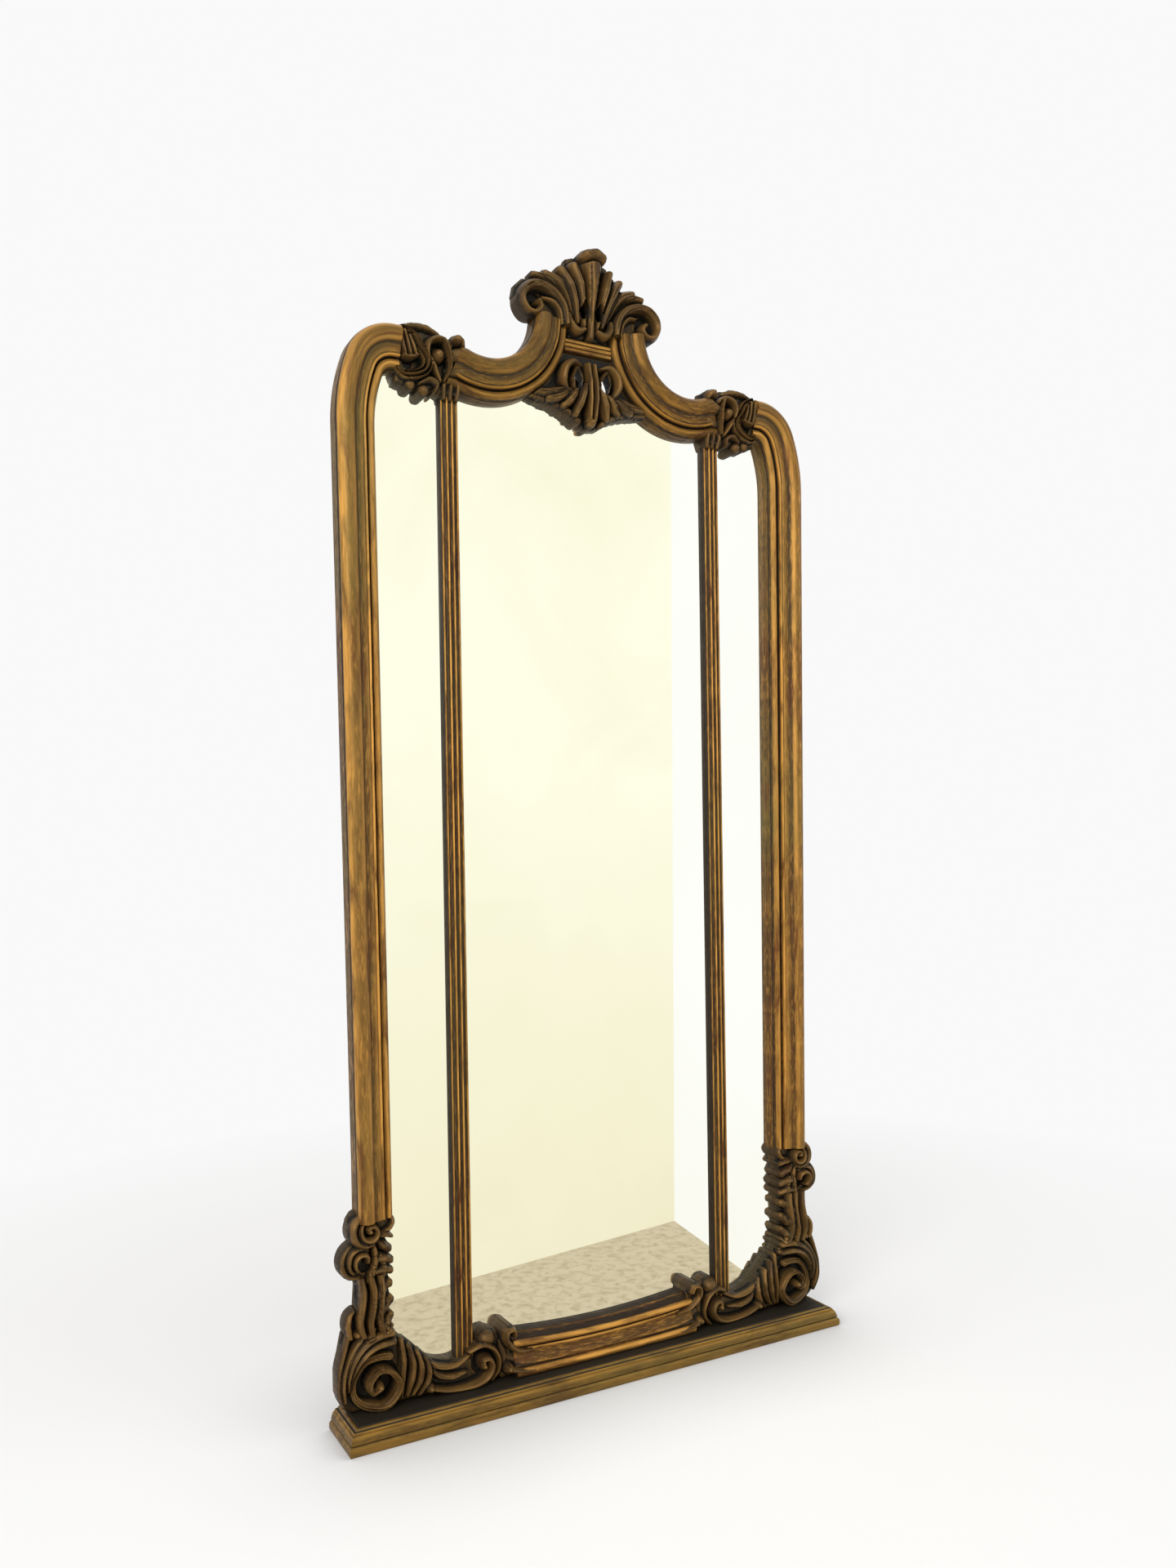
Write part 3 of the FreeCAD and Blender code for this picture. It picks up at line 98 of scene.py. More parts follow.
# ---------------------------------------------------------------- node building
class Graph:
    """Short way to lay out the nodes of a material or world."""

    def __init__(self, owner: bpy.types.ID, output: str) -> None:
        """Empty the owner's nodes and add its output.

        Args:
            owner: the material or world.
            output: class of its output node.
        """
        owner.use_nodes = True
        self.tree = owner.node_tree
        self.tree.nodes.clear()
        self.out = self.node(output)

    def node(self, kind: str, **settings: object) -> bpy.types.Node:
        """Add a node and set its properties.

        Args:
            kind: the node's class.
            settings: its properties.

        Returns:
            The node.
        """
        made = self.tree.nodes.new(kind)
        for name, value in settings.items():
            setattr(made, name, value)
        return made

    def link(self, source: bpy.types.NodeSocket, target: bpy.types.NodeSocket) -> None:
        """Join two sockets."""
        self.tree.links.new(source, target)

    def feed(self, socket: bpy.types.NodeSocket, value: object) -> None:
        """Set a socket, or link it if the value is a socket.

        Args:
            socket: the input.
            value: what it gets.
        """
        if isinstance(value, bpy.types.NodeSocket):
            self.link(value, socket)
        else:
            socket.default_value = value

    def place(self, scale: Colour, attribute: str = "") -> bpy.types.NodeSocket:
        """Stretched coordinates.

        Args:
            scale: repeats for each metre along the three axes.
            attribute: a vector attribute to read, or Object coordinates if empty.

        Returns:
            The vector's socket.
        """
        mapping = self.node("ShaderNodeMapping")
        if attribute:
            source = self.node("ShaderNodeAttribute", attribute_name=attribute).outputs["Vector"]
        else:
            source = self.node("ShaderNodeTexCoord").outputs["Object"]
        self.link(source, mapping.inputs["Vector"])
        mapping.inputs["Scale"].default_value = scale
        return mapping.outputs["Vector"]

    def noise(self, vector: bpy.types.NodeSocket, detail: float = 4.0,
              distortion: float = 0.0) -> bpy.types.NodeSocket:
        """Noise value over a vector.

        Args:
            vector: where the noise is read.
            detail: its octaves.
            distortion: how far it is warped.

        Returns:
            The value's socket.
        """
        made = self.node("ShaderNodeTexNoise")
        self.link(vector, made.inputs["Vector"])
        for name, number in (("Scale", 1.0), ("Detail", detail), ("Distortion", distortion),
                             ("Roughness", 0.55)):
            made.inputs[name].default_value = number
        return made.outputs["Fac"]

    def ramp(self, value: bpy.types.NodeSocket, stops: list[tuple[float, tuple]]) -> bpy.types.NodeSocket:
        """Colour ramp over a value.

        Args:
            value: the driving socket.
            stops: (place, colour) from low to high.

        Returns:
            The colour's socket.
        """
        made = self.node("ShaderNodeValToRGB")
        self.link(value, made.inputs["Fac"])
        elements = made.color_ramp.elements
        while len(elements) < len(stops):
            elements.new(0.5)
        for element, (place, colour) in zip(elements, stops):
            element.position = place
            element.color = colour
        return made.outputs["Color"]

    def span(self, value: bpy.types.NodeSocket, low: float, high: float, out_low: float = 0.0,
             out_high: float = 1.0) -> bpy.types.NodeSocket:
        """Value carried from one span to another and held inside it.

        Args:
            value: the socket to carry.
            low, high: span that it comes from.
            out_low, out_high: span that it goes to.

        Returns:
            The carried value's socket.
        """
        made = self.node("ShaderNodeMapRange", clamp=True)
        self.link(value, made.inputs["Value"])
        ends = {"From Min": low, "From Max": high, "To Min": out_low, "To Max": out_high}
        for name, number in ends.items():
            made.inputs[name].default_value = number
        return made.outputs["Result"]

    def maths(self, operation: str, first: object, second: object = 0.0) -> bpy.types.NodeSocket:
        """Result of a Math node.

        Args:
            operation: the node's operation.
            first, second: sockets or numbers.

        Returns:
            The result's socket.
        """
        made = self.node("ShaderNodeMath", operation=operation)
        self.feed(made.inputs[0], first)
        self.feed(made.inputs[1], second)
        return made.outputs[0]

    def blend(self, share: object, base: object, over: object) -> bpy.types.NodeSocket:
        """Colour between base and over.

        Args:
            share: how much of over shows, from 0 to 1.
            base, over: colours or their sockets.

        Returns:
            The colour's socket.
        """
        made = self.node("ShaderNodeMix", data_type="RGBA")
        self.feed(made.inputs["Factor"], share)
        self.feed(made.inputs[6], base)
        self.feed(made.inputs[7], over)
        return made.outputs[2]

    def fac(self, attribute: str) -> bpy.types.NodeSocket:
        """Value of a number attribute."""
        return self.node("ShaderNodeAttribute", attribute_name=attribute).outputs["Fac"]

    def mixed(self, share: object, first: bpy.types.NodeSocket, second: bpy.types.NodeSocket) -> None:
        """End in a mix of two shaders.

        Args:
            share: how much of the second shows, from 0 to 1.
            first, second: the shaders' sockets.
        """
        mix = self.node("ShaderNodeMixShader")
        self.feed(mix.inputs[0], share)
        self.link(first, mix.inputs[1])
        self.link(second, mix.inputs[2])
        self.link(mix.outputs[0], self.out.inputs["Surface"])

    def seen_ray(self) -> bpy.types.NodeSocket:
        """1 on rays of the camera, a reflection or a clear pane, else 0.

        Returns:
            The value's socket.
        """
        path = self.node("ShaderNodeLightPath")
        direct = self.maths("MAXIMUM", path.outputs["Is Camera Ray"], path.outputs["Is Glossy Ray"])
        return self.maths("MAXIMUM", direct, path.outputs["Is Transmission Ray"])


class Surface(Graph):
    """Nodes of a material, with a Principled surface."""

    def __init__(self, name: str, lit: bool = True) -> None:
        """Start a material.

        Args:
            name: its name.
            lit: whether it has the Principled surface.
        """
        self.material = bpy.data.materials.new(name)
        super().__init__(self.material, "ShaderNodeOutputMaterial")
        if lit:
            self.surface = self.node("ShaderNodeBsdfPrincipled")
            self.link(self.surface.outputs["BSDF"], self.out.inputs["Surface"])

    def bump(self, height: bpy.types.NodeSocket, strength: float, depth: float) -> None:
        """Bump the surface by a height, in metres of depth.

        Args:
            height: the height's socket.
            strength: how much of the bump shows.
            depth: what a height of 1 measures, in metres.
        """
        made = self.node("ShaderNodeBump")
        made.inputs["Strength"].default_value = strength
        made.inputs["Distance"].default_value = depth
        self.link(height, made.inputs["Height"])
        self.link(made.outputs["Normal"], self.surface.inputs["Normal"])


# ---------------------------------------------------------------- finishes
@dataclass(frozen=True)
class GiltFinish:
    """Old gilding over red bole and gesso, dulled with umber glazing that also stands as painted shade in the
    hollows, and rubbed gold on the crowns that is also a painted highlight.

    Needs the mesh attributes grain (along, across, relief in metres) and tone (-1 hollow to 1 crown).
    """

    name: str
    deep: tuple
    gold: tuple
    bright: tuple
    # colour of the umber glazing in hollows, which also serves as painted shade
    glaze_and_shade: tuple
    bole: tuple
    olive: tuple
    chip: tuple = tint(222, 212, 192)
    glaze_and_shade_cover: float = 0.95
    olive_cover: float = 0.5
    bole_cover: float = 0.5
    # amount of rubbed gold on the crowns: worn gilding that is also a painted highlight
    rub_and_highlight: float = 0.85
    metal: float = 0.5
    chip_level: float = 0.79
    hair_scale: Colour = (60, 430, 300)
    streak_scale: Colour = (18, 170, 130)
    patch_scale: Colour = (12, 70, 60)
    chip_scale: Colour = (60, 150, 150)
    drift_scale: Colour = (3.4, 3.4, 2.6)
    speck_scale: Colour = (430, 430, 430)

    def build(self) -> bpy.types.Material:
        """Make the material.

        Returns:
            The material.
        """
        g = Surface(self.name)
        hair = g.noise(g.place(self.hair_scale, "grain"), 4, 0.3)
        streak = g.noise(g.place(self.streak_scale, "grain"), 5, 0.4)
        patch = g.noise(g.place(self.patch_scale, "grain"), 6, 0.6)
        drift = g.noise(g.place(self.drift_scale), 4)
        speck = g.noise(g.place(self.speck_scale), 3)
        tone = g.fac("tone")
        grain = g.maths("ADD", g.maths("MULTIPLY", hair, 0.62), g.maths("MULTIPLY", streak, 0.38))
        colour = g.ramp(grain, [(0.30, self.deep), (0.50, self.gold), (0.78, self.bright)])
        olive = g.span(drift, 0.44, 0.64, 0.0, self.olive_cover)
        colour = g.blend(olive, colour, self.olive)
        bole = g.span(patch, 0.54, 0.66, 0.0, self.bole_cover)
        colour = g.blend(bole, colour, self.bole)
        # rubbed gold on the crowns: wear, and also a painted highlight
        rubbed_and_highlight = g.maths("MULTIPLY", g.span(tone, 0.02, 0.55, 0.0, self.rub_and_highlight), g.span(patch, 0.68, 0.40))
        colour = g.blend(rubbed_and_highlight, colour, self.bright)
        # umber glazing in the hollows: dirt, and also painted shade in quirks, low ground, hole walls and
        # dark side walls
        ragged = g.maths("ADD", tone, g.span(grain, 0.36, 0.64, -0.07, 0.07))
        glaze_and_shade = g.span(ragged, 0.0, -0.55, 0.0, self.glaze_and_shade_cover)
        colour = g.blend(glaze_and_shade, colour, self.glaze_and_shade)
        flaked = g.span(g.noise(g.place(self.chip_scale, "grain"), 4), self.chip_level,
                        self.chip_level + 0.015)
        chips = g.maths("MULTIPLY", flaked, g.span(tone, -0.1, 0.2))
        colour = g.blend(chips, colour, self.chip)
        g.feed(g.surface.inputs["Base Color"], colour)
        dull = g.maths("ADD", g.span(grain, 0.38, 0.62, 0.50, 0.34), g.span(glaze_and_shade, 0, 1, 0.0, 0.25))
        g.feed(g.surface.inputs["Roughness"], dull)
        g.feed(g.surface.inputs["Metallic"], g.span(glaze_and_shade, 0.0, 0.8, self.metal, 0.0))
        g.surface.inputs["Specular IOR Level"].default_value = 0.22
        relief = g.maths("ADD", g.maths("MULTIPLY", grain, 0.9), g.maths("MULTIPLY", speck, 0.35))
        relief = g.maths("ADD", relief, g.maths("MULTIPLY", chips, -1.2))
        g.bump(relief, 0.5, 0.0009)
        return g.material


@dataclass(frozen=True)
class PlateFinish:
    """Old silvered plate: clear reflection with faint haze and foxing."""

    name: str
    silver: tuple
    haze: tuple
    foxing: tuple = tint(120, 110, 84)

    def build(self) -> bpy.types.Material:
        """Make the material.

        Returns:
            The material.
        """
        g = Surface(self.name)
        cloud = g.noise(g.place((3.1, 3.1, 2.2)), 5, 0.6)
        fox = g.noise(g.place((240, 240, 240)), 3)
        colour = g.blend(g.span(cloud, 0.45, 0.75, 0.0, 0.35), self.silver, self.haze)
        colour = g.blend(g.span(fox, 0.80, 0.84, 0.0, 0.6), colour, self.foxing)
        g.feed(g.surface.inputs["Base Color"], colour)
        g.surface.inputs["Metallic"].default_value = 1.0
        g.feed(g.surface.inputs["Roughness"], g.span(cloud, 0.4, 0.8, 0.012, 0.03))
        g.bump(g.noise(g.place((2.0, 2.0, 1.4)), 1), 0.02, 0.001)
        return g.material


@dataclass(frozen=True)
class PineFinish:
    """Old pine, browned by air, with its grain along one axis; its faces towards the viewer are made near
    black, a painted shade behind the carving.
    """

    name: str
    pale: tuple
    mid: tuple
    dark: tuple
    grain: Colour
    # colour of the faces towards the viewer: painted shade behind the carving
    front: tuple = tint(24, 20, 16)

    def build(self) -> bpy.types.Material:
        """Make the material.

        Returns:
            The material.
        """
        g = Surface(self.name)
        rings = g.noise(g.place(self.grain), 6, 1.6)
        fibre = g.noise(g.place(tuple(5 * value for value in self.grain)), 4)
        stain = g.noise(g.place((4, 4, 4)), 4)
        colour = g.ramp(rings, [(0.32, self.dark), (0.48, self.mid), (0.66, self.pale)])
        colour = g.blend(g.span(fibre, 0.5, 0.72, 0.0, 0.5), colour, self.dark)
        colour = g.blend(g.span(stain, 0.52, 0.72, 0.0, 0.55), colour, self.dark)
        # faces towards the viewer turn near black: painted shade behind the carving
        facing = g.node("ShaderNodeSeparateXYZ")
        g.link(g.node("ShaderNodeTexCoord").outputs["Normal"], facing.inputs[0])
        colour = g.blend(g.span(facing.outputs["Y"], -0.5, -0.7, 0.0, 0.93), colour, self.front)
        g.feed(g.surface.inputs["Base Color"], colour)
        g.feed(g.surface.inputs["Roughness"], g.span(rings, 0.3, 0.7, 0.88, 0.68))
        g.bump(g.maths("ADD", rings, g.maths("MULTIPLY", fibre, 0.6)), 0.4, 0.0008)
        return g.material


@dataclass(frozen=True)
class SteelFinish:
    """Old bright steel with rust freckles."""

    name: str
    steel: tuple
    rust: tuple

    def build(self) -> bpy.types.Material:
        """Make the material.

        Returns:
            The material.
        """
        g = Surface(self.name)
        brushed = g.noise(g.place((900, 500, 300)), 4)
        freckle = g.noise(g.place((320, 320, 320)), 5)
        spots = g.span(freckle, 0.52, 0.64)
        g.feed(g.surface.inputs["Base Color"], g.blend(spots, self.steel, self.rust))
        g.feed(g.surface.inputs["Metallic"], g.span(spots, 0, 1, 1.0, 0.1))
        g.feed(g.surface.inputs["Roughness"], g.maths("ADD", g.span(brushed, 0.3, 0.7, 0.24, 0.42),
                                                      g.span(spots, 0, 1, 0.0, 0.35)))
        g.bump(g.maths("ADD", brushed, spots), 0.2, 0.0002)
        return g.material


MOULDING_GILT = GiltFinish("gilt_moulding", deep=tint(66, 42, 19), gold=tint(97, 67, 30),
                           bright=tint(198, 145, 70), glaze_and_shade=tint(28, 19, 11), bole=tint(98, 52, 30),
                           olive=tint(98, 88, 46), olive_cover=0.6, bole_cover=0.45, rub_and_highlight=1.0)
# darker copy of the moulding gilding for the swan necks: painted shade, as they get less light than the
# stiles
SHADED_NECK_GILT = replace(MOULDING_GILT, name="gilt_neck", deep=tint(46, 31, 16), gold=tint(80, 56, 25),
                    bright=tint(168, 121, 52), bole=tint(74, 40, 24), olive=tint(80, 70, 38), rub_and_highlight=0.85)
CARVED_GILT = GiltFinish("gilt_carving", deep=tint(38, 28, 18), gold=tint(64, 48, 29),
                         bright=tint(122, 91, 49), glaze_and_shade=tint(16, 14, 11), bole=tint(68, 40, 28),
                         olive=tint(64, 60, 42), olive_cover=0.6, bole_cover=0.4)
PLINTH_GILT = GiltFinish("gilt_plinth", deep=tint(66, 50, 26), gold=tint(88, 69, 36),
                         bright=tint(144, 108, 48), glaze_and_shade=tint(24, 21, 17), bole=tint(84, 54, 30),
                         olive=tint(98, 86, 46), olive_cover=0.6, bole_cover=0.4)
SILVER = PlateFinish("silvered_plate", silver=tint(255, 255, 254), haze=tint(250, 249, 240))
PINE_UPRIGHT = PineFinish("pine_upright", pale=tint(176, 136, 88), mid=tint(146, 106, 64),
                          dark=tint(92, 62, 36), grain=(70, 70, 2.6))
PINE_ACROSS = PineFinish("pine_across", pale=tint(170, 130, 84), mid=tint(140, 101, 60),
                         dark=tint(88, 59, 34), grain=(2.6, 70, 70))
STEEL = SteelFinish("old_steel", steel=tint(150, 148, 142), rust=tint(92, 52, 28))


# ---------------------------------------------------------------- paths, in (x, z)
def spiral(centre: Point, radii: Point, turn: Point, steps: int) -> np.ndarray:
    """Points on a spiral.

    Args:
        centre: its middle.
        radii: first and last radius.
        turn: first and last angle, in degrees.
        steps: number of steps.

    Returns:
        The points, one a row.
    """
    share = np.linspace(0, 1, steps + 1)
    angle = np.radians(turn[0] + (turn[1] - turn[0]) * share)
    radius = radii[0] + (radii[1] - radii[0]) * share
    return np.stack([centre[0] + radius * np.cos(angle), centre[1] + radius * np.sin(angle)], 1)


def flow(*points: Point, steps: int = 8) -> np.ndarray:
    """Smooth curve through points.

    Args:
        points: the places it passes.
        steps: steps between two of them.

    Returns:
        The points, one a row.
    """
    known = np.array([points[0], *points, points[-1]], float)
    rows = []
    for index in range(1, len(known) - 2):
        a, b, c, d = known[index - 1:index + 3]
        for t in np.arange(steps) / steps:
            rows.append(0.5 * (2 * b + (c - a) * t + (2 * a - 5 * b + 4 * c - d) * t ** 2
                               + (3 * b - a - 3 * c + d) * t ** 3))
    rows.append(known[-1])
    return np.array(rows)


def coil(centre: Point, *turns: Point) -> np.ndarray:
    """Smooth curl about a centre.

    Args:
        centre: its middle.
        turns: (degrees, radius) places it passes.

    Returns:
        The points, one a row.
    """
    polar = flow(*turns, steps=14)
    angle = np.radians(polar[:, 0])
    return np.stack([centre[0] + polar[:, 1] * np.cos(angle), centre[1] + polar[:, 1] * np.sin(angle)], 1)


class Section(Enum):
    """Cut across a carved stroke: share of its relief over the signed share of its half width."""

    ROUND = "round"
    LEAF = "leaf"
    BAND = "band"

    def lift(self, place: np.ndarray) -> np.ndarray:
        """Share of the relief at signed places from -1 to 1.

        Args:
            place: places across the ridge.

        Returns:
            Shares from 0 to 1.
        """
        edge = np.abs(place)
        if self is Section.ROUND:
            return np.sqrt(np.clip(1 - edge ** 2, 0, 1))
        if self is Section.LEAF:
            return (1 - edge ** 4) * (0.72 + 0.28 * np.cos(3 * np.pi * edge))
        return (1 - edge ** 8) * (0.9 + 0.1 * np.cos(2 * np.pi * edge))


@dataclass
class Relief:
    """Carved front as heights over a grid, in millimetres in front of the back plane."""

    x_range: Point
    z_range: Point

    def __post_init__(self) -> None:
        """Lay out the grid."""
        self.pitch = GRID_PITCH
        xs = np.arange(self.x_range[0], self.x_range[1] + self.pitch, self.pitch)
        zs = np.arange(self.z_range[0], self.z_range[1] + self.pitch, self.pitch)
        self.x, self.z = np.meshgrid(xs, zs, indexing="ij")
        self.height = np.zeros_like(self.x)
        self.reach = np.full_like(self.x, -50.0)
        self.grain = np.stack([self.z, self.x, self.height], -1)
        self.under = np.zeros_like(self.x)
        # rim of pierced holes, whose walls get painted shade
        self.dark = np.zeros_like(self.x)
        self.count = 0

    def ground(self, outline: list[Point], height: float, edge: float = 7.0) -> None:
        """Fill an outline with a rounded ground.

        Args:
            outline: closed outline.
            height: relief of the ground.
            edge: width of its rounded edge.
        """
        corners = np.array(outline, float)
        inside = np.zeros(self.x.shape, bool)
        near = np.full(self.x.shape, 1e3)
        for (ax, az), (bx, bz) in zip(corners, np.roll(corners, -1, 0)):
            crosses = (az > self.z) != (bz > self.z)
            if az != bz:
                inside ^= crosses & (self.x < (bx - ax) * (self.z - az) / (bz - az) + ax)
            run, rise = bx - ax, bz - az
            share = ((self.x - ax) * run + (self.z - az) * rise) / (run ** 2 + rise ** 2 + 1e-9)
            share = np.clip(share, 0, 1)
            near = np.minimum(near, np.hypot(self.x - ax - share * run, self.z - az - share * rise))
        signed = np.where(inside, near, -near)
        lift = height * (0.45 + 0.55 * np.sqrt(np.clip(1 - (1 - np.clip(signed / edge, 0, 1)) ** 2, 0, 1)))
        self.height = np.where(inside, np.maximum(self.height, lift), self.height)
        self.reach = np.maximum(self.reach, signed)

    def nearest(self, path: np.ndarray) -> tuple[np.ndarray, np.ndarray, np.ndarray]:
        """Where the grid lies beside a path.

        Args:
            path: points, one a row.

        Returns:
            Distance, share of the way along, and side (-1 or 1).
        """
        best = np.full(self.x.shape, 1e3)
        along = np.zeros(self.x.shape)
        side = np.ones(self.x.shape)
        steps = np.diff(path, axis=0)
        lengths = np.hypot(steps[:, 0], steps[:, 1])
        total = lengths.sum()
        done = 0.0
        for start, step, length in zip(path[:-1], steps, lengths):
            dx, dz = self.x - start[0], self.z - start[1]
            share = np.clip((dx * step[0] + dz * step[1]) / (length ** 2 + 1e-9), 0, 1)
            away = np.hypot(dx - share * step[0], dz - share * step[1])
            closer = away < best
            best = np.where(closer, away, best)
            along = np.where(closer, (done + share * length) / total, along)
            side = np.where(closer, np.sign(step[0] * dz - step[1] * dx + 1e-12), side)
            done += length
        return best, along, side

    def stroke(self, path: np.ndarray, widths: tuple, reliefs: tuple, section: Section = Section.ROUND,
               ground: float = 12.0, groove: float = 2.2, scallops: float = 0.0, over: bool = False) -> None:
        """Carve a ridge along a path.

        Args:
            path: points, one a row.
            widths: half widths, evenly spread along it.
            reliefs: heights of its crest, evenly spread along it.
            section: cut across it.
            ground: relief at its foot.
            groove: depth of the cut beside it.
            scallops: number of round lobes along its edges.
            over: let it lie over what is there, also where it is lower.
        """
        away, along, side = self.nearest(path)
        half = np.interp(along, np.linspace(0, 1, len(widths)), widths)
        crest = np.interp(along, np.linspace(0, 1, len(reliefs)), reliefs)
        if scallops:
            half = half * (0.78 + 0.22 * np.sqrt(np.abs(np.sin(math.pi * scallops * along))))
        place = np.clip(away / np.maximum(half, 0.1), 0, 1) * side
        lift = ground + (crest - ground) * section.lift(place)
        inside = away < half
        beside = (~inside) & (away < half + CUT_REACH) & (self.height > THINNEST + 1)
        self.height = np.where(beside, self.height - groove * (1 - (away - half) / CUT_REACH) ** 2,
                               self.height)
        take = inside & ((lift > self.height) | over)
        self.height = np.where(take, lift, self.height)
        length = np.hypot(*np.diff(path, axis=0).T).sum()
        self.count += 1
        self.grain[take] = np.stack([along * length + GRAIN_SHIFT * self.count, side * away, lift], -1)[take]
        self.reach = np.maximum(self.reach, half - away)

    def gouge(self, path: np.ndarray, width: float, depth: float) -> None:
        """Cut a round groove along a path.

        Args:
            path: points, one a row.
            width: half width.
            depth: depth.
        """
        away, along, _ = self.nearest(path)
        ends = np.clip(np.minimum(along, 1 - along) * 8, 0, 1)
        cut = depth * ends * np.clip(1 - (away / width) ** 2, 0, 1)
        self.height = np.where(self.height > 0, np.maximum(self.height - cut, THINNEST - 1), self.height)

    def sink(self, centre: Point, radius: float, level: float) -> None:
        """Lower what stands higher than a level within a radius of a centre."""
        low = np.hypot(self.x - centre[0], self.z - centre[1]) < radius
        self.height = np.where(low, np.minimum(self.height, level), self.height)

    def ball(self, centre: Point, radius: float, relief: float, foot: float = 12.0) -> None:
        """Carve a round knob.

        Args:
            centre: its middle.
            radius: its radius.
            relief: height of its top.
            foot: relief at its foot.
        """
        dot = np.array([centre, (centre[0] + 0.01, centre[1])], float)
        self.stroke(dot, (radius, radius), (relief, relief), ground=foot)

    def pierce(self, path: np.ndarray, widths: tuple, under: float) -> None:
        """Cut right through along a path, and mark its rim so that the hole's walls get painted shade.

        Args:
            path: points, one a row.
            widths: half widths, evenly spread along it.
            under: depth hollowed from the back around it.
        """
        away, along, _ = self.nearest(path)
        half = np.interp(along, np.linspace(0, 1, len(widths)), widths)
        self.reach = np.minimum(self.reach, away - half)
        near = np.clip((half + 6 - away) / 3, 0, 1)
        self.under = np.maximum(self.under, under * near)
        # mark the rim: painted shade on the hole's walls
        self.dark = np.maximum(self.dark, near)

    def clip(self, low: Point = (-FAR, -FAR), high: Point = (FAR, FAR)) -> "Relief":
        """Keep what lies between two corners.

        Args:
            low, high: the corners (x, z).

        Returns:
            The relief itself.
        """
        for grid, start, end in ((self.x, low[0], high[0]), (self.z, low[1], high[1])):
            self.reach = np.minimum(self.reach, np.minimum(grid - start, end - grid))
        return self

    def blurred(self, mask: np.ndarray, radius: float) -> np.ndarray:
        """Height averaged over a square of the kept grid.

        Args:
            mask: kept grid points.
            radius: half of the square's side.

        Returns:
            The averaged heights.
        """
        cells = max(1, round(radius / self.pitch))

        def summed(data: np.ndarray) -> np.ndarray:
            """Sum over the square round each grid point.

            Args:
                data: a value for each grid point.

            Returns:
                The sums.
            """
            for axis in (0, 1):
                wide = np.pad(data, [(cells + 1, cells) if a == axis else (0, 0) for a in (0, 1)])
                run = np.cumsum(wide, axis)
                data = (np.take(run, range(2 * cells + 1, run.shape[axis]), axis)
                        - np.take(run, range(0, run.shape[axis] - 2 * cells - 1), axis))
            return data

        return summed(self.height * mask) / np.maximum(summed(mask.astype(float)), 1e-6)

    def kept_cells(self) -> np.ndarray:
        """Cells inside the outline, but for those that touch another only at a corner.

        Returns:
            A flag for each cell of the grid.
        """
        keep = self.reach > -0.3 * self.pitch
        cell = keep[:-1, :-1] & keep[1:, :-1] & keep[1:, 1:] & keep[:-1, 1:]
        for _ in range(3):
            a, b, c, d = cell[:-1, :-1], cell[1:, :-1], cell[1:, 1:], cell[:-1, 1:]
            touch_one, touch_two = a & c & ~b & ~d, b & d & ~a & ~c
            cell[1:, 1:] &= ~touch_one
            cell[1:, :-1] &= ~touch_two
        return cell

    def shade(self, mask: np.ndarray, edge: np.ndarray) -> np.ndarray:
        """Tone of the front, from its height over what lies round it: painted shade in hollows and on low
        ground, worn gilding and a painted highlight on crowns.

        Args:
            mask: kept grid points.
            edge: those on the outline.

        Returns:
            Tone from -1 to 1.
        """
        fine = np.clip((self.height - self.blurred(mask, 3.0)) / 2.6, -1, 1)
        broad = np.clip((self.height - self.blurred(mask, 10.0)) / 9.0, -1, 1)
        # low ground far from the outline is darkened: painted shade between the carved forms
        low = np.clip((17 - self.height) / 5, 0, 1) * np.clip((self.reach - 2) / 4, 0, 1)
        tone = np.clip(0.55 * fine + 0.6 * broad - low, -1, 1)
        return np.where(edge & (self.dark < 0.5), np.maximum(tone, -0.2), tone)

    def solid(self, name: str, mirror: bool = False) -> bpy.types.Object:
        """Closed mesh of the carving, with its tone and grain.

        Args:
            name: the piece's name.
            mirror: make the viewer's left one.

        Returns:
            The object.
        """
        cell = self.kept_cells()
        used = np.zeros(self.x.shape, int)
        for shift_x in (0, 1):
            for shift_z in (0, 1):
                used[shift_x:shift_x + cell.shape[0], shift_z:shift_z + cell.shape[1]] += cell
        mask, edge = used > 0, (used > 0) & (used < 4)
        tone = self.shade(mask, edge)
        grad_x, grad_z = np.gradient(self.reach, self.pitch)
        steep = grad_x ** 2 + grad_z ** 2 + 0.05
        push = np.where(edge, np.clip(self.reach, -1.2 * self.pitch, 1.2 * self.pitch) / steep, 0.0)
        x, z = self.x - push * grad_x, self.z - push * grad_z
        height = np.maximum(self.height, THINNEST)
        under = np.clip(self.under, 0.0, height - THINNEST)
        total = int(mask.sum())
        number = np.full(mask.shape, -1)
        number[mask] = np.arange(total)
        front = np.stack([x[mask], GILT_BACK - height[mask], z[mask]], 1)
        back = np.stack([x[mask], GILT_BACK - under[mask], z[mask]], 1)
        i, j = np.nonzero(cell)
        faces = np.stack([number[i, j], number[i + 1, j], number[i + 1, j + 1], number[i, j + 1]], 1)
        edges = np.concatenate([faces[:, [k, (k + 1) % 4]] for k in range(4)])
        codes = edges[:, 0] * (2 * total) + edges[:, 1]
        open_edge = ~np.isin(edges[:, 1] * (2 * total) + edges[:, 0], codes)
        a, b = edges[open_edge].T
        walls = np.stack([b, a, a + total, b + total], 1)
        faces = np.concatenate([faces, faces[:, ::-1] + total, walls])
        points = np.concatenate([front, back]) * MM
        if mirror:
            points[:, 0] *= -1
            faces = faces[:, ::-1]
        made = mesh_object(name, points, faces)
        # back corners by a pierced hole get tone -1: painted shade on the hole's walls
        lay(made, "tone", np.concatenate([tone[mask], np.where(self.dark[mask] > 0.5, -1.0, -0.05)]))
        lay(made, "grain", np.tile(self.grain[mask] * MM, (2, 1)))
        soften(made, 45)
        return made


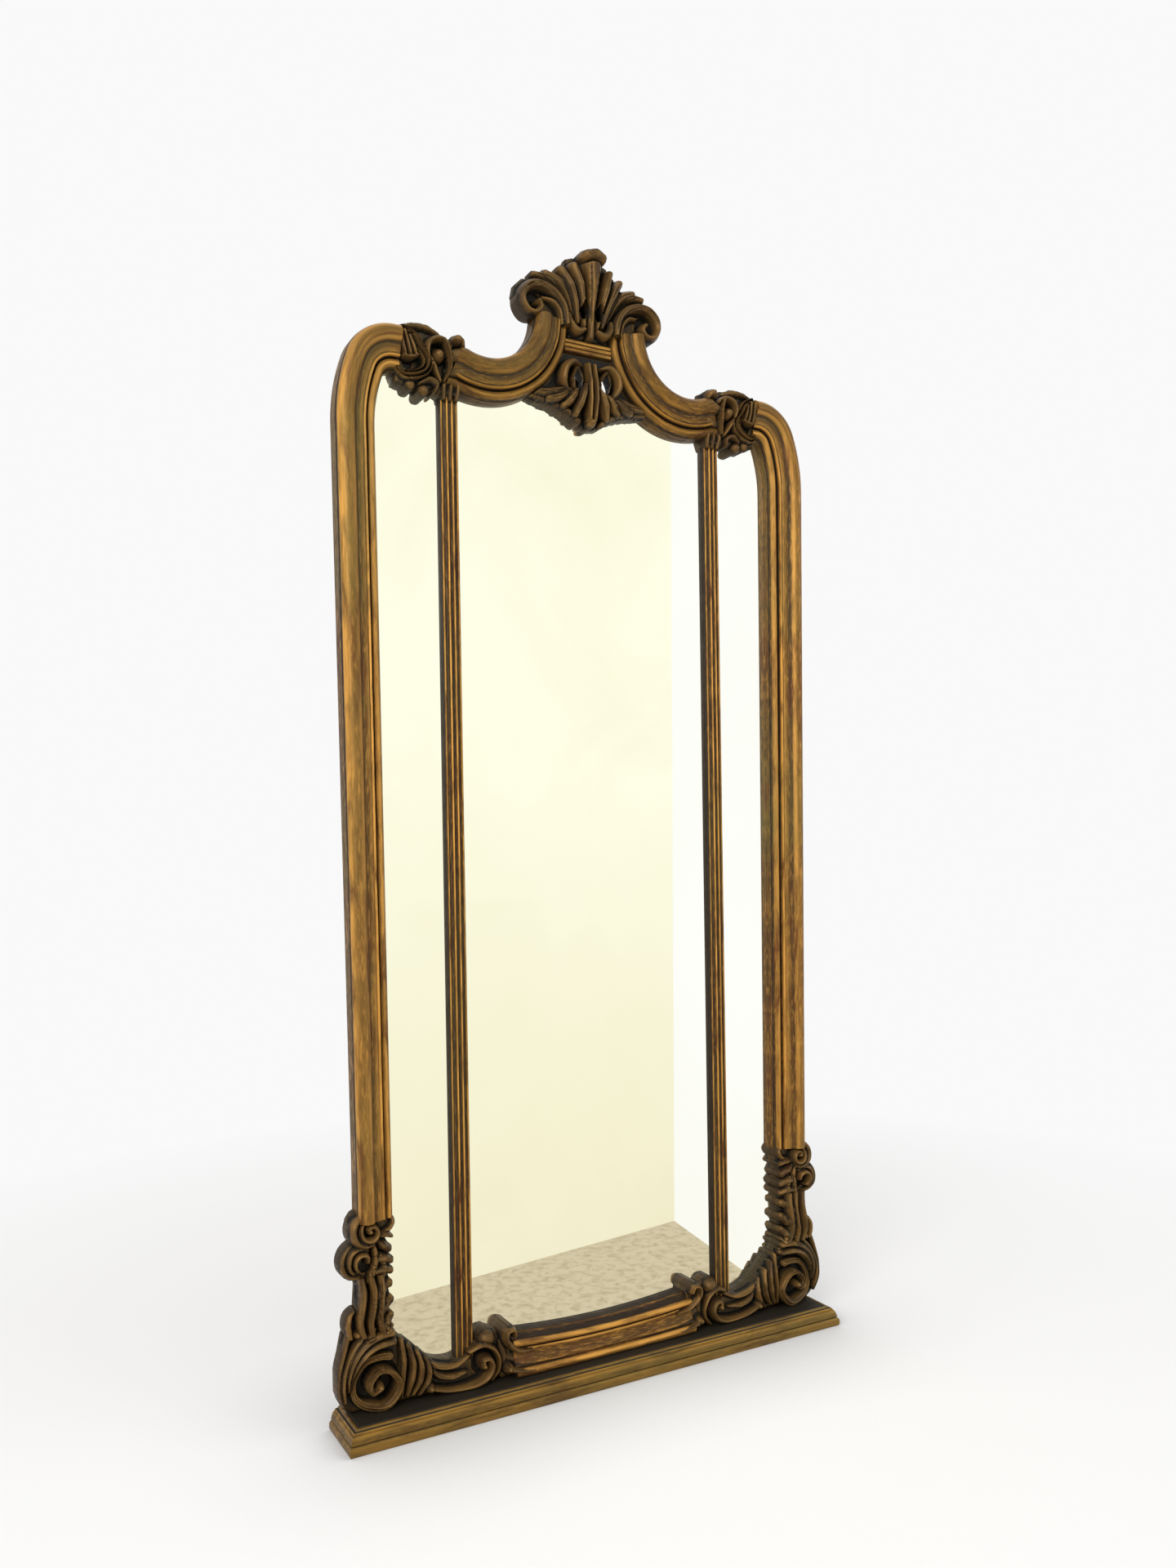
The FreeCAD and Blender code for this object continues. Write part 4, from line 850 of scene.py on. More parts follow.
# ---------------------------------------------------------------- meshes
def mesh_object(name: str, points: np.ndarray, faces: np.ndarray) -> bpy.types.Object:
    """Object from points and faces.

    Args:
        name: the piece's name.
        points: corners in metres.
        faces: corner numbers, one face a row.

    Returns:
        The object, in the scene.
    """
    mesh = bpy.data.meshes.new(name)
    mesh.from_pydata(points.tolist(), [], faces.tolist())
    mesh.validate()
    made = bpy.data.objects.new(name, mesh)
    bpy.context.scene.collection.objects.link(made)
    return made


def lay(made: bpy.types.Object, name: str, values: np.ndarray) -> None:
    """Store a value or a vector at each corner of a mesh.

    Args:
        made: the object.
        name: the attribute's name.
        values: one row for each corner.
    """
    kind, key = ("FLOAT", "value") if values.ndim == 1 else ("FLOAT_VECTOR", "vector")
    layer = made.data.attributes.new(name, kind, "POINT")
    layer.data.foreach_set(key, np.ascontiguousarray(values, np.float32).ravel())


def deselect() -> None:
    """Deselect every object."""
    for each in bpy.context.scene.objects:
        each.select_set(False)


def pick(made: bpy.types.Object) -> None:
    """Select one object and make it active.

    Args:
        made: the object.
    """
    deselect()
    made.select_set(True)
    bpy.context.view_layer.objects.active = made


def soften(made: bpy.types.Object, degrees: float) -> None:
    """Shade a mesh smooth, but for edges sharper than an angle."""
    pick(made)
    bpy.ops.object.shade_smooth_by_angle(angle=math.radians(degrees))


def smooth_profile(profile: list[Point], steps: int = 4) -> np.ndarray:
    """Rounded version of a moulding's profile, keeping its two back corners.

    Args:
        profile: (place, relief) from outer edge to lip, first and last on the back plane.
        steps: steps between two of its points.

    Returns:
        Points, one a row.
    """
    front = flow(*profile[1:-1], steps=steps)
    return np.concatenate([[profile[0]], front, [profile[-1]]])


def profile_tone(profile: np.ndarray, wall_shade: float = -0.1) -> np.ndarray:
    """Tone of each point of a profile: painted shade in its quirks, worn gilding that is also a painted
    highlight on its crowns, and a set tone on its side walls, painted shade where it is dark.

    Args:
        profile: (place, relief) points.
        wall_shade: tone of the side walls.

    Returns:
        Tone of each point, from -1 to 1.
    """
    relief = profile[:, 1]
    place = profile[:, 0]
    tone = np.zeros(len(profile))
    for radius, depth, weight in ((3.0, 2.2, 0.7), (9.0, 7.0, 0.5)):
        for index in range(len(profile)):
            near = np.abs(place - place[index]) < radius
            tone[index] += weight * np.clip((relief[index] - relief[near][relief[near] > 0].mean()
                                             if relief[index] > 0 else -depth) / depth, -1, 1)
    tone[np.minimum(place - place.min(), place.max() - place) < 0.5] = wall_shade
    return np.clip(tone, -1, 1)


class Sweep:
    """Moulding pulled along a lip line, shaped with spin and extrude in edit mode."""

    def __init__(self, name: str, ring: np.ndarray) -> None:
        """Begin with the profile as one face.

        Args:
            name: the piece's name.
            ring: the profile's corners in millimetres.
        """
        deselect()
        bpy.ops.mesh.primitive_circle_add(vertices=len(ring), radius=0.05, fill_type="NGON")
        self.made = bpy.context.active_object
        self.made.name = name
        self.made.data.name = name
        self.made.data.vertices.foreach_set("co", (ring * MM).ravel())
        self.made.data.update()
        bpy.ops.object.mode_set(mode="EDIT")
        bpy.ops.mesh.select_all(action="SELECT")

    def straight(self, step: tuple[float, float, float], times: int = 1) -> "Sweep":
        """Extrude by a step in millimetres, a number of times.

        Args:
            step: the whole way (x, y, z).
            times: how many parts it is made in.

        Returns:
            The sweep itself.
        """
        for _ in range(times):
            bpy.ops.mesh.extrude_region_move(
                TRANSFORM_OT_translate={"value": tuple(value * MM / times for value in step)})
        return self

    def turn(self, centre: Point, degrees: float, steps: int) -> "Sweep":
        """Spin about a centre (x, z), from +X towards +Z for a positive angle.

        Args:
            centre: the axis.
            degrees: the angle.
            steps: how many parts it is made in.

        Returns:
            The sweep itself.
        """
        bpy.ops.mesh.spin(steps=steps, dupli=False, angle=math.radians(degrees),
                          center=(centre[0] * MM, 0.0, centre[1] * MM), axis=(0.0, 1.0, 0.0))
        return self

    def finish(self) -> bpy.types.Object:
        """Leave edit mode with faces outwards.

        Returns:
            The object.
        """
        bpy.ops.mesh.select_all(action="SELECT")
        bpy.ops.mesh.remove_doubles(threshold=1e-6)
        bpy.ops.mesh.normals_make_consistent(inside=False)
        bpy.ops.object.mode_set(mode="OBJECT")
        return self.made


def dress_sweep(made: bpy.types.Object, lip: np.ndarray, profile: np.ndarray, scale: float = 1.0,
                wall_shade: float = -0.1) -> None:
    """Lay grain and tone on a moulding by its place beside its lip line; the tone puts painted shade in its
    quirks and on its side walls, and a painted highlight on its crowns.

    Args:
        made: the moulding.
        lip: the lip line, points in millimetres.
        profile: (place, relief) points, whose last place is at the lip.
        scale: width of the moulding over that of the profile.
        wall_shade: tone of its side walls.
    """
    co = np.empty(len(made.data.vertices) * 3, np.float32)
    made.data.vertices.foreach_get("co", co)
    co = co.reshape(-1, 3).astype(float) / MM
    best = np.full(len(co), 1e6)
    along = np.zeros(len(co))
    done = 0.0
    for start, end in zip(lip[:-1], lip[1:]):
        step = end - start
        length = math.hypot(*step)
        share = np.clip(((co[:, [0, 2]] - start) @ step) / length ** 2, 0, 1)
        away = np.hypot(*(co[:, [0, 2]] - start - share[:, None] * step).T)
        closer = away < best
        best = np.where(closer, away, best)
        along = np.where(closer, done + share * length, along)
        done += length
    place = profile[-1, 0] - best / scale
    relief = GILT_BACK - co[:, 1]
    gap = (place[:, None] - profile[None, :, 0]) ** 2 + (relief[:, None] - profile[None, :, 1]) ** 2
    tones = profile_tone(profile, wall_shade)
    lay(made, "tone", tones[gap.argmin(1)])
    lay(made, "grain", np.stack([along, best, relief], 1) * MM)


def mirrored(made: bpy.types.Object, name: str) -> bpy.types.Object:
    """Copy on the viewer's left, with its own mesh and faces outwards.

    Args:
        made: the piece on the right.
        name: the copy's name.

    Returns:
        The copy.
    """
    mesh = made.data.copy()
    mesh.name = name
    mesh.transform(Matrix.Diagonal((-1, 1, 1, 1)))
    mesh.flip_normals()
    copy = bpy.data.objects.new(name, mesh)
    bpy.context.scene.collection.objects.link(copy)
    return copy


def settle(made: bpy.types.Object, finish: bpy.types.Material, nodes: tuple[str, ...],
           body: str = "frame") -> None:
    """Give a piece its finish and body, and hide the nodes it stands for.

    Args:
        made: the piece.
        finish: its material.
        nodes: CAD nodes that it replaces.
        body: CAD body that carries it.
    """
    made.data.materials.clear()
    made.data.materials.append(finish)
    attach(made, body)
    if nodes:
        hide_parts(*nodes)
    LOG.info("%s: %d faces, stands for %s", made.name, len(made.data.polygons), ", ".join(nodes) or "none")


# ---------------------------------------------------------------- swept mouldings
@dataclass
class FrameMouldings:
    """Stile mouldings with their shoulders, and the two swan necks."""

    profile: tuple = ((0, 0), (0, 22), (2, 33), (8, 41), (15, 44), (22, 42.5), (28, 37.5), (32, 32.5),
                      (37, 32), (43, 30.5), (46, 28.5), (49, 30), (51, 27), (52.8, 17), (55.5, 23),
                      (61, 25.5), (66, 22), (70, 13), (70, 0))
    sight_half: float = 400.0
    sight_top: float = 1730.0
    width: float = 70.0
    foot_z: float = 345.0
    foot_width: float = 63.0
    foot_inset: float = 7.0
    long_radius: float = 250.0
    long_turn: float = 20.0
    tight_radius: float = 16.0
    tail: float = 10.0
    neck_turn: float = 112.0
    neck_tail: Point = (12.0, 1.0)

    def ring(self, lip: Point, width: float) -> np.ndarray:
        """Rounded profile standing level at a place of the lip.

        Args:
            lip: its (x, z).
            width: width of the moulding there.

        Returns:
            Corners in millimetres.
        """
        profile = smooth_profile(list(self.profile), 5)
        across = lip[0] + (self.width - profile[:, 0]) * width / self.width
        return np.stack([across, GILT_BACK - profile[:, 1], np.full(len(profile), lip[1])], 1)

    def stile(self) -> bpy.types.Object:
        """Right stile with its shoulder.

        Returns:
            The object.
        """
        turn = math.radians(self.long_turn)
        reach = self.long_radius - self.tight_radius
        long_x = self.sight_half - self.long_radius
        tight = (long_x + reach * math.cos(turn), self.sight_top - self.tight_radius)
        long_z = tight[1] - reach * math.sin(turn)
        foot = (self.sight_half - self.foot_inset, self.foot_z)
        sweep = Sweep("right_stile_moulding_gilt", self.ring(foot, self.foot_width))
        sweep.straight((self.foot_inset, 0, long_z - self.foot_z))
        bpy.ops.transform.resize(value=(self.width / self.foot_width, 1, 1),
                                 center_override=(self.sight_half * MM, 0, long_z * MM))
        sweep.turn((long_x, long_z), self.long_turn, 8).turn(tight, 90 - self.long_turn, 28)
        sweep.straight((-self.tail, 0, 0))
        made = sweep.finish()
        lip = np.concatenate([[foot, (self.sight_half, long_z)],
                              spiral((long_x, long_z), (self.long_radius,) * 2, (0, self.long_turn), 24)[1:],
                              spiral(tight, (self.tight_radius,) * 2, (self.long_turn, 90), 40)[1:],
                              [(tight[0] - self.tail, self.sight_top)]])
        dress_sweep(made, lip, smooth_profile(list(self.profile)))
        soften(made, 40)
        return made

    def neck(self) -> bpy.types.Object:
        """Right swan neck, from its upright end round past its lowest point.

        Returns:
            The object.
        """
        start = (NECK_CENTRE[0] - NECK_LIP, NECK_CENTRE[1])
        run, rise = self.neck_tail
        sweep = Sweep("right_swan_neck_gilt", self.ring(start, self.width))
        made = sweep.turn(NECK_CENTRE, self.neck_turn, 52).straight((run, 0, rise), 3).finish()
        lip = spiral(NECK_CENTRE, (NECK_LIP,) * 2, (180, 180 + self.neck_turn), 110)
        lip = np.concatenate([lip, [lip[-1] + self.neck_tail]])
        dress_sweep(made, lip, smooth_profile(list(self.profile)))
        soften(made, 40)
        return made

    def build(self, stile_finish: bpy.types.Material, shaded_neck_finish: bpy.types.Material) -> None:
        """Make both pairs.

        Args:
            stile_finish, shaded_neck_finish: their gilding.
        """
        # the necks take the darker copy of the gilding, which is painted shade
        for made, finish in ((self.stile(), stile_finish), (self.neck(), shaded_neck_finish)):
            left = mirrored(made, made.name.replace("right_", "left_"))
            for piece in (made, left):
                settle(piece, finish, (piece.name.removesuffix("_gilt"),))


@dataclass
class Bars:
    """Straight mouldings: the two mullions, the crest's cross rail, the bottom rail and the plinth."""

    mullion_profile: tuple = ((0, 10), (2, 10.8), (3.2, 13.2), (4.5, 14), (6, 13), (7.5, 10), (10, 8.8),
                              (11.6, 9), (12.6, 10.6), (14, 11), (15.5, 10), (16, 8))
    mullion_x: float = 268.0
    mullion_half: float = 16.0
    mullion_z: Point = (78.0, 1703.0)
    rail_profile: tuple = ((0, 0), (0, 39), (3, 43), (8, 44), (12, 40), (14, 34), (17, 36), (24, 30),
                           (32, 27), (38, 27), (40, 23), (43, 29), (47, 30), (50, 27), (52, 20), (56, 15),
                           (62, 12), (62, 0))
    rail_half: float = 184.0
    rail_rise: Point = (62.0, 73.0)
    cross_z: Point = (1823.0, 1846.0)
    cross_half: float = 47.0
    reed_relief: Point = (13.6, 4.0)
    plinth_profile: tuple = ((2, 0), (0.3, 4), (0.3, 11), (3, 15), (5.5, 16.5), (3.5, 18), (7, 28),
                             (9.5, 29.5), (9.6, 31), (11.5, 33), (13, 31.5), (14.5, 33), (17, 36), (20, 36),
                             (22.5, 34))
    plinth_size: tuple = (988.0, 110.0)

    def mullion(self, finish: bpy.types.Material) -> None:
        """Make the reeded bars over the plates' joints.

        Args:
            finish: the gilding.
        """
        half = flow(*self.mullion_profile, steps=3)
        front = np.concatenate([half[::-1] * (-1, 1), half[1:]])
        ring = np.concatenate([[(-self.mullion_half, 0.0)], front, [(self.mullion_half, 0.0)]])
        low, high = self.mullion_z
        corners = np.stack([self.mullion_x + ring[:, 0], GILT_BACK - ring[:, 1], np.full(len(ring), low)], 1)
        made = Sweep("right_mullion_gilt", corners).straight((0, 0, high - low)).finish()
        edge = self.mullion_x + self.mullion_half
        # side walls near black: painted shade where the bar stands on the glass
        dress_sweep(made, np.array([(edge, low), (edge, high)]), ring + (self.mullion_half, 0.0), wall_shade=-0.9)
        soften(made, 50)
        left = mirrored(made, "left_mullion_gilt")
        settle(made, finish, ("right_mullion",))
        settle(left, finish, ("left_mullion",))

    def cross_rail(self, finish: bpy.types.Material) -> None:
        """Make the crest's three reeds.

        Args:
            finish: the gilding.
        """
        low, high = self.cross_z
        reed = (high - low) / 3
        foot, swell = self.reed_relief
        ring = [(0.0, 0.0)]
        for index in range(3):
            ring += [((index + 0.5 - 0.5 * math.cos(math.pi * t)) * reed,
                      foot + swell * math.sin(math.pi * t))
                     for t in np.linspace(0.04, 0.96, 9)]
        ring = np.array(ring + [(high - low, 0.0)])
        start = np.full(len(ring), -self.cross_half)
        corners = np.stack([start, GILT_BACK - ring[:, 1], low + ring[:, 0]], 1)
        made = Sweep("crest_cross_rail_gilt", corners).straight((2 * self.cross_half, 0, 0)).finish()
        dress_sweep(made, np.array([(-self.cross_half, high), (self.cross_half, high)]), ring)
        soften(made, 50)
        settle(made, finish, ("crest_cross_rail",))

    def bottom_rail(self, finish: bpy.types.Material) -> None:
        """Make the rail whose top edge dips in the middle.

        Args:
            finish: the gilding.
        """
        profile = smooth_profile(list(self.rail_profile))
        middle, end = self.rail_rise
        corners = np.stack([np.full(len(profile), -self.rail_half), GILT_BACK - profile[:, 1],
                            PLINTH_TOP + profile[:, 0] * end / middle], 1)
        sweep = Sweep("bottom_rail_gilt", corners)
        steps = 24
        tops = [middle + (end - middle) * (2 * step / steps - 1) ** 2 for step in range(steps + 1)]
        for step in range(steps):
            sweep.straight((2 * self.rail_half / steps, 0, 0))
            bpy.ops.transform.resize(value=(1, 1, tops[step + 1] / tops[step]),
                                     center_override=(0, 0, PLINTH_TOP * MM))
        made = sweep.finish()
        lip = np.array([(x, PLINTH_TOP + middle + (end - middle) * (x / self.rail_half) ** 2)
                        for x in np.linspace(-self.rail_half, self.rail_half, 40)])
        # faces at the rail's foot and back toned dark: painted shade where it meets the plinth
        dress_sweep(made, lip, profile, 1.06, -0.7)
        soften(made, 45)
        settle(made, finish, ("bottom_rail_moulding",))

    def plinth_slices(self) -> np.ndarray:
        """Slices of the plinth from its underside up: how far each stands back, and its height.

        Returns:
            The slices, one row each.
        """
        top = [(24.0, PLINTH_TOP), (40.0, PLINTH_TOP)]
        slices = np.concatenate([flow(*self.plinth_profile, steps=3), top])
        slices[:, 0] = np.maximum(slices[:, 0], 0.35)
        return slices

    def plinth_shading(self, slices: np.ndarray) -> np.ndarray:
        """Tone of each slice: ochre below from a painted highlight of light off the floor, olive above, and
        painted shade, near black, on top under the rail but for a ridge at the back.

        Args:
            slices: the plinth's slices.

        Returns:
            A tone from -1 to 1 for each slice.
        """
        back, up = slices.T
        tones = profile_tone(np.stack([up, 60 - back], 1))
        # near-black top: painted shade under the rail and carvings
        tones[back > 12.2] = -0.95
        tones[(back > 15) & (back < 21)] = 0.3
        # lowest band brighter: a painted highlight of light thrown up from the floor
        tones[up < 14] = 0.4
        return tones

    def plinth(self, finish: bpy.types.Material) -> None:
        """Make the moulded board, a slice at a time.

        Args:
            finish: the board's gilding.
        """
        length, depth = self.plinth_size
        slices = self.plinth_slices()
        back, up = slices[0]
        deselect()
        bpy.ops.mesh.primitive_plane_add(size=1.0)
        made = bpy.context.active_object
        made.name = "plinth_board_gilt"
        made.data.name = made.name
        half = length / 2 - back
        front, rear = back - depth / 2, depth / 2
        for vertex, (x, y) in zip(made.data.vertices,
                                  ((-half, front), (half, front), (-half, rear), (half, rear))):
            vertex.co = (x * MM, y * MM, up * MM)
        bpy.ops.object.mode_set(mode="EDIT")
        bpy.ops.mesh.select_all(action="SELECT")
        for next_back, next_up in slices[1:]:
            bpy.ops.mesh.extrude_region_move(TRANSFORM_OT_translate={"value": (0, 0, (next_up - up) * MM)})
            bpy.ops.transform.resize(value=((length - 2 * next_back) / (length - 2 * back),
                                            (depth - next_back) / (depth - back), 1),
                                     center_override=(0, rear * MM, 0))
            back, up = next_back, next_up
        bpy.ops.mesh.select_all(action="SELECT")
        bpy.ops.mesh.normals_make_consistent(inside=False)
        bpy.ops.object.mode_set(mode="OBJECT")
        co = np.array([vertex.co for vertex in made.data.vertices]) / MM
        inset = -np.maximum(np.abs(co[:, 0]) - length / 2, -co[:, 1] - rear)
        gap = (inset[:, None] - slices[None, :, 0]) ** 2 + (co[:, 2][:, None] - slices[None, :, 1]) ** 2
        lay(made, "tone", self.plinth_shading(slices)[gap.argmin(1)])
        lay(made, "grain", co[:, [0, 2, 1]] * MM)
        soften(made, 40)
        settle(made, finish, ("plinth_board",))

    def build(self, gilding: bpy.types.Material, board: bpy.types.Material) -> None:
        """Make them all.

        Args:
            gilding: finish of the mouldings.
            board: finish of the plinth.
        """
        self.mullion(gilding)
        self.cross_rail(gilding)
        self.bottom_rail(gilding)
        self.plinth(board)


# ---------------------------------------------------------------- carved pieces
class Carving:
    """Carved piece made as a relief on the right and mirrored to the left."""

    node: str = ""

    def carve(self) -> Relief:
        """Carve the relief of the right-hand piece.

        Returns:
            The relief.
        """
        raise NotImplementedError

    def build(self, finish: bpy.types.Material) -> None:
        """Make both pieces.

        Args:
            finish: the gilding.
        """
        relief = self.carve()
        for side, flip in (("right", False), ("left", True)):
            made = relief.solid(f"{side}_{self.node}_gilt", flip)
            settle(made, finish, (f"{side}_{self.node}",))


@dataclass
class CornerVolute(Carving):
    """Large volute on the plinth, under leaves that wrap its top and outer side."""

    node: str = "corner_volute"
    eye: Point = (426.0, 80.0)

    def carve(self) -> Relief:
        """Carve it.

        Returns:
            The relief.
        """
        r = Relief((380, 500), (34, 172))
        r.ground([(385, 36), (468, 36), (482, 46), (491, 64), (495, 88), (493, 112), (487, 140), (481, 168),
                  (400, 168), (393, 150), (385, 141)], 16)
        r.stroke(flow((412, 174), (408, 160), (398, 148)), (6, 7, 5), (32, 34, 26), ground=15)
        r.stroke(flow((470, 176), (481, 142), (489, 110), (490, 78), (482, 54)), (5, 5, 5, 5, 3),
                 (26, 29, 30, 29, 24), ground=15)
        r.stroke(flow((450, 176), (452, 160), (466, 142), (479, 116), (484, 88), (480, 60)),
                 (5, 6.5, 6.5, 6, 5, 3), (30, 33, 35, 35, 33, 26), ground=15, groove=3)
        for path, crest in ((flow((401, 157), (425, 157), (448, 147), (466, 127), (475, 102), (475, 78)), 39),
                            (flow((399, 142), (424, 144), (446, 135), (463, 116), (470, 96)), 41)):
            r.stroke(path, (6.5, 7.5, 7.5, 7, 5, 3), (34, crest, crest, crest, crest - 3, 30), ground=16,
                     groove=3)
            r.gouge(path + (0.5, 2.0), 1.3, 1.6)
        r.ball((459, 165), 7.5, 33, 13)
        r.stroke(flow((431, 174), (436, 162), (448, 156)), (5.5, 5.5, 3), (30, 34, 26), ground=14)
        r.sink((self.eye[0] + 2, self.eye[1]), 40.0, 9.0)
        r.stroke(flow((406, 120), (423, 122), (447, 116), (464, 93), (466, 68), (450, 50), (415, 45),
                      (392, 71), (407, 98), (429, 102), (443, 86), (439, 73), (429, 77)),
                 (7, 6.5, 5.5, 5, 6.5, 8.5, 8.5, 7.5, 5.5, 5, 5.5, 7),
                 (31, 29, 26, 25, 28, 36, 42, 44, 45, 45, 46, 48), Section.BAND, 10, 2.0)
        r.ball((427, 79), 8.6, 49, 14)
        return r.clip(low=(384.4, PLINTH_TOP), high=(494.0, FAR))


@dataclass
class StileLeaf(Carving):
    """Acanthus stem with a lobed inner edge and a fin on its outer side."""

    node: str = "stile_leaf"

    def carve(self) -> Relief:
        """Carve it.

        Returns:
            The relief.
        """
        r = Relief((388, 486), (160, 258))
        r.ground([(400, 162), (480, 162), (479, 185), (472, 198), (461, 200), (458, 240), (460, 256),
                  (402, 256), (400, 240), (402, 230), (400, 220), (403, 210), (401, 196), (404, 184)], 16)
        for path, widths in ((flow((428, 222), (416, 234), (405, 238)), (8, 10, 8)),
                             (flow((426, 192), (413, 205), (404, 211)), (8, 10.5, 8.5)),
                             (flow((418, 170), (409, 180), (403, 186)), (8, 9, 7)),
                             (flow((412, 158), (406, 164), (402, 168)), (7, 7, 5))):
            r.stroke(path, widths, (36, 36, 27), ground=18, groove=2)
        for path in (flow((453, 260), (449, 232), (453, 204), (455, 182), (448, 158)),
                     flow((437, 260), (431, 232), (434, 204), (438, 182), (434, 158)),
                     flow((421, 260), (418, 236), (421, 210), (422, 184), (414, 158))):
            r.stroke(path, (6.5, 7.5, 8, 7, 6), (33, 38, 40, 39, 35), ground=15, groove=3.2)
            r.gouge(path + (2.2, 0), 1.4, 2.0)
        r.stroke(flow((463, 203), (471, 195), (474, 180), (470, 158)), (4, 6.5, 7, 6), (24, 30, 30, 28),
                 ground=12)
        return r.clip(low=(-FAR, 161.0), high=(FAR, 257.0))


@dataclass
class StileScroll(Carving):
    """Two scrolls, one above the other, that end the stile's moulding."""

    node: str = "stile_scroll"
    upper: Point = (440.0, 331.0)
    lower: Point = (453.0, 281.0)

    def carve(self) -> Relief:
        """Carve it.

        Returns:
            The relief.
        """
        r = Relief((388, 490), (246, 372))
        r.ground([(402, 250), (450, 250), (469, 256), (480, 267), (484, 282), (479, 298), (467, 309),
                  (463, 312), (471, 323), (473, 335), (470, 349), (463, 359), (457, 362), (400, 352),
                  (396, 345), (397, 318), (407, 311), (399, 298), (404, 290), (400, 282), (403, 272),
                  (400, 262)], 20)
        for path, widths in ((flow((432, 308), (428, 284), (436, 250)), (6, 8, 8)),
                             (flow((420, 288), (414, 268), (418, 248)), (6, 7, 7)),
                             (flow((428, 262), (414, 264), (402, 259)), (7, 9, 7)),
                             (flow((430, 282), (415, 282), (402, 276)), (7, 9.5, 7.5)),
                             (flow((424, 312), (415, 303), (405, 295)), (6, 8, 8)),
                             (flow((426, 322), (411, 321), (399, 315)), (6, 7.5, 3.5))):
            r.stroke(path, widths, (33, 36, 30), ground=13, groove=3)
        r.stroke(coil(self.lower, (95, 31), (30, 30), (-35, 28), (-85, 25)), (5, 6, 6.5, 4), (26, 30, 31, 26),
                 ground=13)
        r.stroke(coil(self.lower, (120, 22), (60, 24), (10, 20), (-50, 19)), (5, 6, 6, 4), (34, 38, 38, 32),
                 ground=14, groove=3)
        r.sink((445, 272), 9.5, 14)
        r.stroke(coil(self.lower, (170, 11), (110, 15), (50, 13), (-10, 10), (-70, 12)), (5, 6.5, 6, 5, 3),
                 (38, 43, 43, 42, 36), ground=14, groove=3)
        r.stroke(coil(self.upper, (75, 25), (15, 25), (-45, 24), (-95, 22), (-135, 19)), (5, 8.5, 9, 8, 5),
                 (32, 38, 41, 40, 34), ground=13)
        r.sink((434, 337), 11, 16)
        r.stroke(coil(self.upper, (60, 15), (0, 13), (-60, 14), (-120, 15), (-170, 14), (-230, 10),
                      (-290, 5)),
                 (4, 5.5, 6, 6.5, 6, 5, 5), (36, 41, 44, 44, 44, 44, 44), ground=16, groove=3)
        r.ball((439, 332), 6.5, 46, 15)
        r.stroke(flow((400, 350), (397, 338), (404, 328), (416, 326)), (3, 5, 5, 3), (24, 30, 31, 26),
                 ground=13)
        return r


def rail_hook(r: Relief) -> None:
    """Carve the hook and the ball that run from the bottom rail's end on into the apron leaf.

    Args:
        r: relief to carve.
    """
    r.stroke(flow((148, 75), (174, 79), (190, 90), (200, 104), (198, 117), (187, 119), (183, 109)),
             (4, 4.8, 6, 7, 7, 6, 5), (32, 35, 38, 41, 42, 42, 40), ground=13, groove=3)
    r.ball(HOOK_BALL, 10.5, 48, 12)
    r.gouge(spiral(HOOK_BALL, (7, 2.5), (100, -300), 30), 1.5, 2.4)


@dataclass
class ApronLeaf(Carving):
    """Fan of fronds beside the corner volute, and a C-scroll bowl that ends in a small volute."""

    node: str = "apron_leaf"

    def carve(self) -> Relief:
        """Carve it.

        Returns:
            The relief.
        """
        r = Relief((190, 390), (34, 146))
        r.ground([(196, 36), (388, 36), (388, 140), (372, 136), (352, 116), (335, 97), (310, 87), (284, 82),
                  (252, 82), (250, 96), (244, 110), (236, 120), (224, 124), (211, 118), (203, 105),
                  (196, 84)], 18)
        fronds = ((flow((350, 106), (332, 88), (310, 79), (286, 78), (264, 88)), (5, 6, 6, 5, 3), 30),
                  (flow((336, 84), (320, 68), (298, 61), (272, 62)), (5, 7, 6.5, 4), 32),
                  (flow((344, 101), (339, 82), (343, 64), (356, 46)), (5.5, 7, 7, 4), 36),
                  (flow((359, 115), (353, 94), (356, 72), (368, 50)), (5.5, 7, 7, 4), 39),
                  (flow((373, 128), (367, 102), (370, 76), (378, 50)), (5.5, 7, 7, 4), 39),
                  (flow((385, 139), (382, 112), (385, 80), (387, 48)), (5, 6, 6, 4), 35))
        for path, widths, crest in fronds:
            r.stroke(path, widths, (crest - 8, crest, crest, crest - 6), ground=13, groove=3)
            r.gouge(path + (1.6, 1.0), 1.3, 1.6)
        r.stroke(flow((203, 44), (202, 70), (204, 98)), (8, 8, 7), (27, 28, 24), ground=20)
        r.ball((232, 108), 17, 33, 12)
        r.sink((240, 72), 20, 14)
        r.stroke(flow((264, 94), (242, 102), (223, 93), (213, 75), (214, 56), (226, 41)),
                 (4, 5.5, 5.5, 5, 5, 5), (28, 34, 36, 36, 34, 32), ground=13, groove=3)
        r.stroke(flow((245, 70), (244, 81), (233, 80), (228, 66), (236, 51), (252, 43), (276, 40), (306, 42),
                      (332, 50)), (6.5, 6.5, 7, 7.5, 7, 6, 5.5, 5.5, 5), (45, 45, 45, 44, 43, 40, 38, 38, 38),
                 ground=14, groove=3)
        r.ball((244, 71), 7.2, 47, 14)
        r.ball((338, 53), 8.5, 42, 14)
        rail_hook(r)
        return r.clip(low=(196.3, PLINTH_TOP))


